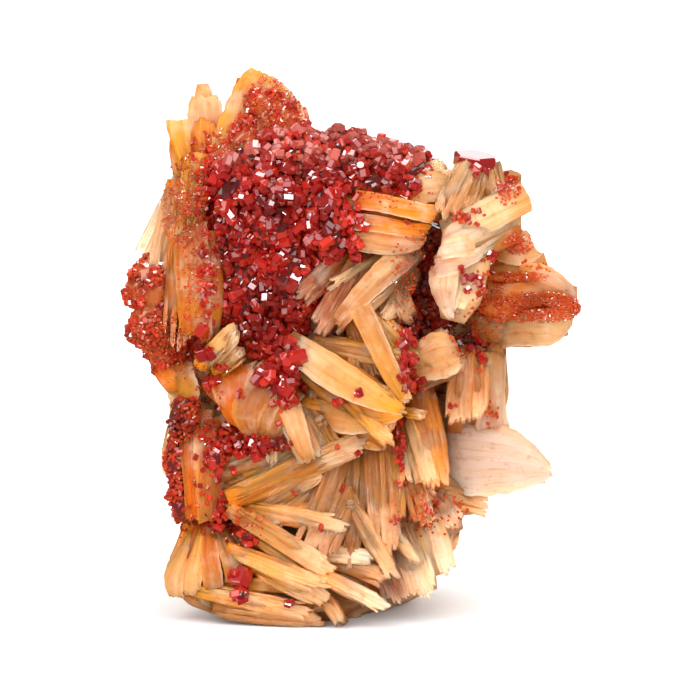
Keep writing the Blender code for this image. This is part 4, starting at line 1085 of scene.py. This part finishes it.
def stone(material):
    """The mass behind the blades, as a closed grid: the stone's surface, moved out by broken ledges.

    A ledge is the absolute value of broad noise and half of finer noise, less a half, and then a
    quarter of the finest noise is added.
    """
    angles = np.linspace(0, 2 * math.pi, STONE_AROUND, endpoint=False)[None, :]
    heights = np.linspace(STONE_LEVELS[0][0], STONE_LEVELS[-1][0], STONE_ROWS)[:, None]
    points = stone_point(angles, heights)
    ledge = ripple(points, 7.0, 21) + 0.5 * ripple(points, 2.6, 22)
    ledge = np.abs(ledge) - 0.5 + 0.25 * ripple(points, 1.1, 23)
    points = stone_point(angles, heights, 0.8 * ledge)
    ends = points[[0, -1]].mean(axis=1)
    tint = blend(TINT["tan"], TINT["brown"], 0.3) + np.zeros(points.shape)
    pale = np.clip(0.6 + 0.7 * ledge, 0, 1)[..., None] * (points[..., 1] > -10)[..., None]
    tint = blend(tint, TINT["cream"], pale)
    # Where the front of the stone shows in the gaps between the blades it is a lighter peach: painted light
    # that lifts the shade there.
    tint = blend(tint, TINT["peach"], np.clip((-10 - points[..., 1]) / 4, 0, 1)[..., None])
    points = np.concatenate([points.reshape(-1, 3), ends])
    tint = np.concatenate([tint.reshape(-1, 3), tint[0, :1], tint[-1, :1]])
    faces = tube_faces(1, STONE_ROWS, STONE_AROUND)
    return piece("barite_stone", points, faces, material, True, shaded(points, tint), points * STONE_GRAIN)


def back_rows(random):
    """Rows of sheaf() for the sides and the back: the large ones of BACK_SHEAVES, then smaller ones."""
    rows = []
    for root_turn, root_height, tip_turn, tip_height in BACK_SHEAVES:
        root = stone_point(math.radians(root_turn), root_height, BACK_STAND[0])
        tip = stone_point(math.radians(tip_turn), tip_height, BACK_STAND[1])
        middle = math.radians((root_turn + tip_turn) / 2)
        rows.append(((*root, *tip, *BACK_SHEAF, 0, "peach", "cream"), middle))
    names = list(TINTS)[:5]
    for _ in range(BACK_EXTRA):
        turn, height = random.uniform(-10, 190), random.uniform(6, 83)
        heading = random.uniform(0, 2 * math.pi)
        reach = random.uniform(8, 15)
        tip_turn = turn + math.cos(heading) * reach * 2.2
        tip_height = max(height + math.sin(heading) * reach, 4)
        root = stone_point(math.radians(turn), height, -2.6)
        tip = stone_point(math.radians(tip_turn), tip_height, -0.4)
        middle = math.radians((turn + tip_turn) / 2)
        width, depth = random.uniform(3.5, 6.5), random.uniform(5, 6.5)
        tints = names[random.integers(5)], names[random.integers(3)]
        rows.append(((*root, *tip, width, depth, random.uniform(-20, 20), *tints), middle))
    return rows


def back_sheaves(random, material):
    """The blades of the sides and the back, which face away from the middle of the stone."""
    rows, middles = zip(*back_rows(random))
    facings = [(math.cos(middle), math.sin(middle), 0.0) for middle in middles]
    body = sheaves("barite_back_sheaves", rows, random, material, facings, pitch=0.85, bow=0.1)
    return [body, single_blades("barite_back_blades", rows, random, material, facings)]


def surface_of(objects):
    """The surface of these objects in specimen millimetres, for casting lines at."""
    corners, faces = [], []
    for obj in objects:
        mesh = obj.data
        points = np.empty(len(mesh.vertices) * 3, np.float32)
        mesh.vertices.foreach_get("co", points)
        start = sum(len(group) for group in corners)
        corners.append(unsettle(points.reshape(-1, 3)))
        mesh.calc_loop_triangles()
        index = np.empty(len(mesh.loop_triangles) * 3, np.int32)
        mesh.loop_triangles.foreach_get("vertices", index)
        faces.append(index.reshape(-1, 3) + start)
    return BVHTree.FromPolygons(np.concatenate(corners).tolist(), np.concatenate(faces).tolist())


def face_at(surface, x, z):
    """Where a line into the show face at x, z meets the surface, and the way that surface faces."""
    hit, normal, _, _ = surface.ray_cast(Vector((x, -90, z)), Vector((0, 1, 0)))
    if hit is None:
        return None, None
    return np.array(hit), np.array(normal if normal.y < 0 else -normal)


def prisms(places, axes, radii, lengths, turns, bevelled):
    """Hexagonal prisms: two rings of six corners each, or four where the ends are bevelled.

    Bevelled, ring by ring, the radius is 1 - b, 1, 1, 1 - b of the crystal's own and the height is -1/2,
    -1/2 + b, 1/2 - b, 1/2 of its length, where b is BEVEL. Gives the points and their faces.
    """
    axes = unit(axes)
    side = unit(np.cross(axes, np.where(np.abs(axes[:, 2:]) < 0.8, (0, 0, 1), (1, 0, 0))))
    other = np.cross(axes, side)
    angle = turns[:, None] + np.radians(60) * np.arange(6)
    levels = ((1, -0.5), (1, 0.5))
    if bevelled:
        levels = ((1 - BEVEL, -0.5), (1, -0.5 + BEVEL), (1, 0.5 - BEVEL), (1 - BEVEL, 0.5))
    corners = 6 * len(levels)
    rings = []
    for reach, height in levels:
        spoke = np.cos(angle)[..., None] * side[:, None] + np.sin(angle)[..., None] * other[:, None]
        middle = places + axes * (lengths * height)[:, None]
        rings.append(middle[:, None] + spoke * (radii * reach)[:, None, None])
    start = np.arange(len(places))[:, None, None] * corners
    ring = start + np.arange(len(levels) - 1)[None, :, None] * 6
    here, there = ring + np.arange(6), ring + (np.arange(6) + 1) % 6
    sides = np.stack([here, there, there + 6, here + 6], axis=-1).reshape(-1, 4)
    bottom = (start[:, 0] + np.arange(6)[::-1]).reshape(-1, 6)
    top = (start[:, 0] + corners - 6 + np.arange(6)).reshape(-1, 6)
    return np.stack(rings, axis=1).reshape(-1, 3), [sides, np.concatenate([bottom, top])]


def lumps(patches):
    """The crust behind the crystals: an ellipsoid for each patch, roughened, as closed grids."""
    down = np.linspace(0.06, math.pi - 0.06, LUMP_ROWS)[:, None]
    turn = np.linspace(0, 2 * math.pi, LUMP_AROUND, endpoint=False)[None, :]
    ball = np.stack(
        np.broadcast_arrays(np.sin(down) * np.cos(turn), np.sin(down) * np.sin(turn), -np.cos(down)),
        axis=-1,
    )
    made = []
    for middle, half in patches:
        points = middle + ball * half * 0.95
        points = points + ball * (0.35 * ripple(points, 1.6, 31))[..., None]
        ends = np.stack([middle - half * (0, 0, 0.95), middle + half * (0, 0, 0.95)])
        made.append(np.concatenate([points.reshape(-1, 3), ends]))
    return np.stack(made), tube_faces(len(made), LUMP_ROWS, LUMP_AROUND)


def ellipsoid_area(half):
    """Near enough the surface of an ellipsoid: 4 pi times the mean, of power 1.6, of its half sizes
    multiplied two by two."""
    return 4 * math.pi * np.mean((half * np.roll(half, 1)) ** 1.6) ** (1 / 1.6)


def crystal_places(patches, spacing, random):
    """Points spread over the outside of the patches' ellipsoids, no closer than about the spacing, and
    the way the crust faces at each."""
    places, ways = [], []
    for middle, half in patches:
        ball = unit(random.normal(size=(int(TRIES * ellipsoid_area(half) / spacing**2), 3)))
        spot = middle + ball * half
        keep = ball[:, 1] < 0.25
        for other, other_half in patches:
            if other is not middle:
                keep &= (((spot - other) / other_half) ** 2).sum(axis=1) > 0.9
        places.append(spot[keep])
        ways.append((ball / half)[keep])
    places, ways = np.concatenate(places), unit(np.concatenate(ways))
    lobes = min(spacing, 1.0) * (1.2 * ripple(places, 6.0, 41) + 0.7 * ripple(places, 3.2, 42))
    places = places + ways * lobes[:, None]
    _, first = np.unique(np.floor(places / spacing).astype(int), axis=0, return_index=True)
    return places[first], ways[first]


def crystal_tints(sizes, random):
    """A red for each crystal: deep in the large ones, brighter in a few, orange red in the small ones."""
    tint = blend(DEEP_RED, BRIGHT_RED, random.uniform(0, 1, (len(sizes), 1)) ** 2.0)
    small = np.clip((0.52 - sizes) / 0.3, 0, 1)[:, None] * random.uniform(0.6, 1, (len(sizes), 1))
    return blend(tint, ORANGE_RED, small)


def crust_spots(patches, surface, blades):
    """Middle and half sizes of each patch's ellipsoid, which sits on the solid. A thin one is brought out
    toward the blades that cover the solid, and none lies far behind the usual depth."""
    spots = []
    for x, z, half_width, half_height, proud in patches:
        hit, _ = face_at(surface, x, z)
        if proud < THIN_CRUST:
            hit[1] = min(hit[1], face_at(blades, x, z)[0][1] + proud * 0.5)
        spots.append((hit, np.array((half_width, proud, half_height))))
    usual = np.median([hit[1] for hit, _ in spots])
    for hit, _ in spots:
        hit[1] = min(hit[1], usual + 2)
    return spots


def tone_and_painted_shade(places):
    """How light a crystal is by its place: broad clouds of random tone, and painted shade in the hollows."""
    light = np.clip(0.95 + 0.25 * ripple(places, 9.0, 43), 0.6, 1.25)[:, None]
    for spot in PAINTED_SHADE_HOLLOWS:
        away = away_from(places[:, 0], places[:, 2], spot)[:, None]
        light = light * (1 - 0.5 * np.clip(1.4 - away, 0, 1))
    return light


def druse(row, surface, blades, strays, dust, random, material):
    """A crust of crystals over lumps, with the single crystals and the dust that lie round it."""
    name, node, patches, spacing, least, most, painted_shade, crust = row
    spots = crust_spots(patches, surface, blades)
    base, base_faces = lumps(spots)
    places, ways = crystal_places(spots, spacing, random)
    sizes = least + (most - least) * random.uniform(0, 1, len(places)) ** 1.7
    groups = [(places, ways, sizes)]
    grown = len(places)
    for x, z, radius, count, spread_x, spread_z in strays:
        groups.append(strewn(blades, x, z, spread_x, spread_z, count, radius, random))
    for x, z, half_width, half_height, count in dust:
        groups.append(strewn(blades, x, z, half_width, half_height, count, DUST_RADIUS, random))
    places, ways, sizes = (np.concatenate(group) for group in zip(*groups))
    flat = unit(np.cross(ways, random.normal(size=ways.shape)))
    axes = flat + ways * random.normal(0, 0.42, (len(ways), 1))
    lengths = sizes * random.uniform(1.4, 2.5, len(sizes))
    turns = random.uniform(0, 1, len(sizes))
    # Painted pink sheen on the larger crystals at the top of the crust, where the top light falls.
    painted_sheen = np.clip((places[:, 2:] - 81) / 3, 0, 1) * random.uniform(0, 0.8, (len(sizes), 1))
    reds = crystal_tints(sizes, random)
    reds = reds + (PAINTED_SHEEN_PINK - reds) * painted_sheen * (sizes[:, None] > 0.56)
    # Broad clouds of random tone, and painted shade in the hollows.
    light = tone_and_painted_shade(places)
    # The grown crystals take the druse's painted shade.
    light[:grown] *= painted_shade

    base = base.reshape(-1, 3)
    parts, tints, faces, used = [], [], [], 0
    for bevelled in (True, False):
        ours = (sizes >= BEVELLED_FROM) == bevelled
        points, found = prisms(places[ours], axes[ours], sizes[ours], lengths[ours], turns[ours], bevelled)
        faces += [group + used for group in found]
        used += len(points)
        parts.append(points)
        tints.append(np.repeat((reds * light)[ours], 24 if bevelled else 12, axis=0))
    faces += [group + used for group in base_faces]
    # The crust between the crystals takes the same painted shade.
    tints.append(np.broadcast_to(linear(crust) * painted_shade, base.shape))
    obj = piece(name, np.concatenate([*parts, base]), faces, material, False, np.concatenate(tints))
    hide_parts(node)
    return obj


def strewn(blades, x, z, half_width, half_height, count, radius, random):
    """Crystals scattered on the blades round x, z: places, the ways they face and radii."""
    places, ways, sizes = [], [], []
    for _ in range(count):
        angle, reach = random.uniform(0, 2 * math.pi), 1.25 * random.uniform(0, 1) ** 0.8
        hit, way = face_at(
            blades, x + half_width * reach * math.cos(angle), z + half_height * reach * math.sin(angle)
        )
        if hit is None or hit[1] > 4:
            continue
        size = radius * random.uniform(0.5, 0.9)
        places.append(hit + way * size * 0.35)
        ways.append(way)
        sizes.append(size)
    return np.array(places).reshape(-1, 3), np.array(ways).reshape(-1, 3), np.array(sizes)


def crown_tablet(material):
    """The big tablet on the right crown."""
    place, axis, radius, thick, turn = CROWN_TABLET
    sizes = np.array([place]), np.array([axis]), np.array([radius]), np.array([thick])
    points, faces = prisms(*sizes, np.radians([turn]), True)
    tint = np.broadcast_to(DEEP_RED, points.shape)
    tablet = piece("vanadinite_crown_crystal", points, faces, material, False, tint)
    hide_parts("vanadinite_crown_tablet")
    return tablet


def add(tree, kind, settings=(), inputs=()):
    """Adds a node, with its settings and with values or links on its inputs."""
    node = tree.nodes.new(kind)
    for key, value in dict(settings).items():
        setattr(node, key, value)
    for key, value in dict(inputs).items():
        if isinstance(value, bpy.types.NodeSocket):
            tree.links.new(value, node.inputs[key])
        else:
            node.inputs[key].default_value = value
    return node


def attribute(tree, name):
    return add(tree, "ShaderNodeAttribute", {"attribute_name": name})


def noise(tree, vector, scale, detail, roughness=0.5):
    """The value of a noise texture at this size."""
    values = {"Vector": vector, "Scale": scale, "Detail": detail, "Roughness": roughness}
    return add(tree, "ShaderNodeTexNoise", {}, values).outputs["Fac"]


def stretched(tree, vector, scale):
    return add(tree, "ShaderNodeMapping", {}, {"Vector": vector, "Scale": scale}).outputs[0]


def ranged(tree, value, low, high, least, most):
    """Carries the range from low to high to the range from least to most."""
    ends = {"From Min": low, "From Max": high, "To Min": least, "To Max": most}
    return add(tree, "ShaderNodeMapRange", {}, {"Value": value, **ends}).outputs["Result"]


def mixed(tree, share, under, over, kind="MULTIPLY"):
    """One colour multiplied by another, or mixed with it, by this share."""
    settings = {"data_type": "RGBA", "blend_type": kind}
    return add(tree, "ShaderNodeMix", settings, {"Factor": share, 6: under, 7: over}).outputs[2]


def blank_material(name):
    material = bpy.data.materials.new(name)
    material.use_nodes = True
    material.node_tree.nodes.clear()
    return material, material.node_tree


def barite_material():
    """Barite: a pale, heavy mineral of thin cleavage plates, glassy to pearly and lit from within.

    To the eye that gives a soft satin gloss, light that sinks in and glows at thin edges, and fine
    stripes along each blade where its layers end.
    """
    material, tree = blank_material("barite")
    tint = attribute(tree, "tint").outputs["Color"]
    grain = attribute(tree, "grain").outputs["Vector"]
    where = add(tree, "ShaderNodeTexCoord").outputs["Object"]
    streak = noise(tree, stretched(tree, grain, (0.16, 5.0, 1)), 1.0, 3.0)
    vein = noise(tree, stretched(tree, grain, (0.1, 1.5, 1)), 1.0, 2.5)
    speck = noise(tree, where, 700.0, 3.0, 0.6)
    cloud = noise(tree, where, 210.0, 3.0, 0.6)
    colour = mixed(tree, 1.0, tint, ranged(tree, streak, 0.3, 0.7, 0.93, 1.07))
    colour = mixed(tree, ranged(tree, speck, 0.56, 0.72, 0.0, 0.45), colour, (*TINT["gold"], 1.0))
    colour = mixed(tree, ranged(tree, cloud, 0.5, 0.68, 0.0, 0.25), colour, (*TINT["white"], 1.0), "MIX")
    colour = mixed(tree, ranged(tree, vein, 0.57, 0.66, 0.0, 0.3), colour, (*TINT["amber"], 1.0))
    relief = add(tree, "ShaderNodeBump", {}, {"Height": streak, "Strength": 0.4, "Distance": 0.0003})
    surface = add(
        tree,
        "ShaderNodeBsdfPrincipled",
        {"subsurface_method": "BURLEY"},
        {
            "Base Color": colour,
            "Roughness": 0.42,
            "IOR": 1.636,
            "Subsurface Weight": 1.0,
            "Subsurface Radius": (1.0, 0.6, 0.4),
            "Subsurface Scale": 0.006,
            "Normal": relief.outputs["Normal"],
        },
    )
    add(tree, "ShaderNodeOutputMaterial", {}, {"Surface": surface.outputs[0]})
    return material


def vanadinite_material():
    """Vanadinite: a red lead mineral that bends light almost as much as diamond does.

    To the eye that gives flat faces that mirror the room like wet enamel over a deep red body, which
    turns a brighter orange red where it is thin.
    """
    material, tree = blank_material("vanadinite")
    surface = add(
        tree,
        "ShaderNodeBsdfPrincipled",
        {},
        {
            "Base Color": attribute(tree, "tint").outputs["Color"],
            "Roughness": 0.09,
            "IOR": 2.38,
            "Subsurface Weight": 0.2,
            "Subsurface Radius": (1.0, 0.12, 0.05),
            "Subsurface Scale": 0.0006,
        },
    )
    add(tree, "ShaderNodeOutputMaterial", {}, {"Surface": surface.outputs[0]})
    return material


def stage_material():
    """A pale, even, matt floor."""
    material, tree = blank_material("pale_floor")
    pale = {"Color": (0.92, 0.92, 0.92, 1.0), "Roughness": 0.5}
    surface = add(tree, "ShaderNodeBsdfDiffuse", {}, pale)
    add(tree, "ShaderNodeOutputMaterial", {}, {"Surface": surface.outputs[0]})
    return material


def pale_floor():
    corners = [(x * FLOOR_HALF, y * FLOOR_HALF, 0) for x, y in ((-1, -1), (1, -1), (1, 1), (-1, 1))]
    mesh = bpy.data.meshes.new("floor")
    mesh.from_pydata(corners, [], [(0, 1, 2, 3)])
    mesh.materials.append(stage_material())
    floor = bpy.data.objects.new("floor", mesh)
    bpy.context.scene.collection.objects.link(floor)
    floor.visible_glossy = False


def room():
    """A white room, less bright in the light it gives, and darker still where a glossy face mirrors it."""
    world = bpy.data.worlds.new("room")
    world.use_nodes = True
    tree = world.node_tree
    tree.nodes.clear()
    path = add(tree, "ShaderNodeLightPath").outputs
    seen, felt, mirrored = (
        add(tree, "ShaderNodeBackground", {}, {"Color": (1, 1, 1, 1), "Strength": strength}).outputs[0]
        for strength in (1.0, ROOM_LIGHT, ROOM_MIRRORED)
    )
    unseen = add(tree, "ShaderNodeMixShader", {}, {0: path["Is Glossy Ray"], 1: felt, 2: mirrored})
    whole = {0: path["Is Camera Ray"], 1: unseen.outputs[0], 2: seen}
    surface = add(tree, "ShaderNodeMixShader", {}, whole)
    add(tree, "ShaderNodeOutputWorld", {}, {"Surface": surface.outputs[0]})
    bpy.context.scene.world = world


def area_light(name, place, size, power, mirrored):
    light = bpy.data.lights.new(name, "AREA")
    light.shape = "SQUARE"
    light.size = size
    light.energy = power
    obj = bpy.data.objects.new(name, light)
    obj.location = place
    obj.rotation_euler = (Vector(LIGHT_AIM) - Vector(place)).to_track_quat("-Z", "Y").to_euler()
    obj.visible_glossy = mirrored
    bpy.context.scene.collection.objects.link(obj)


def camera():
    """A camera far off, so that nothing is drawn larger for being near, level with the show face."""
    scene = bpy.context.scene
    lens = bpy.data.cameras.new("camera")
    lens.lens = 36 * CAMERA_DISTANCE / FRAME_WIDTH
    lens.clip_end = 20.0
    eye = bpy.data.objects.new("camera", lens)
    target = Vector(settle((0.0, 0.0, MIDDLE_HEIGHT)))
    lift = math.radians(CAMERA_LIFT)
    eye.location = target + Vector((0, -math.cos(lift), math.sin(lift))) * CAMERA_DISTANCE
    eye.rotation_euler = (target - eye.location).to_track_quat("-Z", "Y").to_euler()
    scene.collection.objects.link(eye)
    scene.camera = eye
    scene.view_settings.view_transform = "Standard"
    scene.view_settings.look = "None"


def nearest_druse(row):
    """The number of the druse whose patches are nearest to a row's x, z."""
    away = [min(math.hypot(row[0] - spot[0], row[1] - spot[1]) for spot in druse[2]) for druse in DRUSES]
    return away.index(min(away))


def barite_pieces(solid, random, material):
    """Everything that stands for the matrix, in the order in which the random numbers are drawn."""
    made = [stone(material), *back_sheaves(random, material)]
    for name, rows in BLADED:
        made.append(sheaves(name + "_sheaves", rows, random, material))
        made.append(single_blades(name + "_blades", rows, random, material))
    for name, rows in PLAIN:
        made.append(sheaves(name, rows, random, material))
    thick = CENTRE_SHEAVES + RIGHT_SHEAVES[:4] + LOWER_SHEAVES + LOW_LEFT_SHEAVES
    under = undergrowth(thick, random, solid)
    made.append(sheaves("barite_undergrowth", under, random, material))
    made.append(single_blades("barite_undergrowth_blades", under, random, material))
    made.append(broad_plates(random, material))
    return made


def main():
    random = np.random.default_rng(SEED)
    barite = barite_material()
    vanadinite = vanadinite_material()
    solid = surface_of([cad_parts["barite_matrix"]])
    stones = barite_pieces(solid, random, barite)
    for obj in stones:
        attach(obj, "root")
        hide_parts("barite_matrix")

    blades = surface_of(stones)
    crystals = []
    for number, row in enumerate(DRUSES):
        strays = [stray for stray in STRAYS if nearest_druse(stray) == number]
        dust = [cloud for cloud in DUST if nearest_druse(cloud) == number]
        crystals.append(druse(row, solid, blades, strays, dust, random, vanadinite))
    crystals.append(crown_tablet(vanadinite))
    for obj in crystals:
        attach(obj, "root")

    pale_floor()
    room()
    for row in LIGHTS:
        area_light(*row)
    camera()


main()
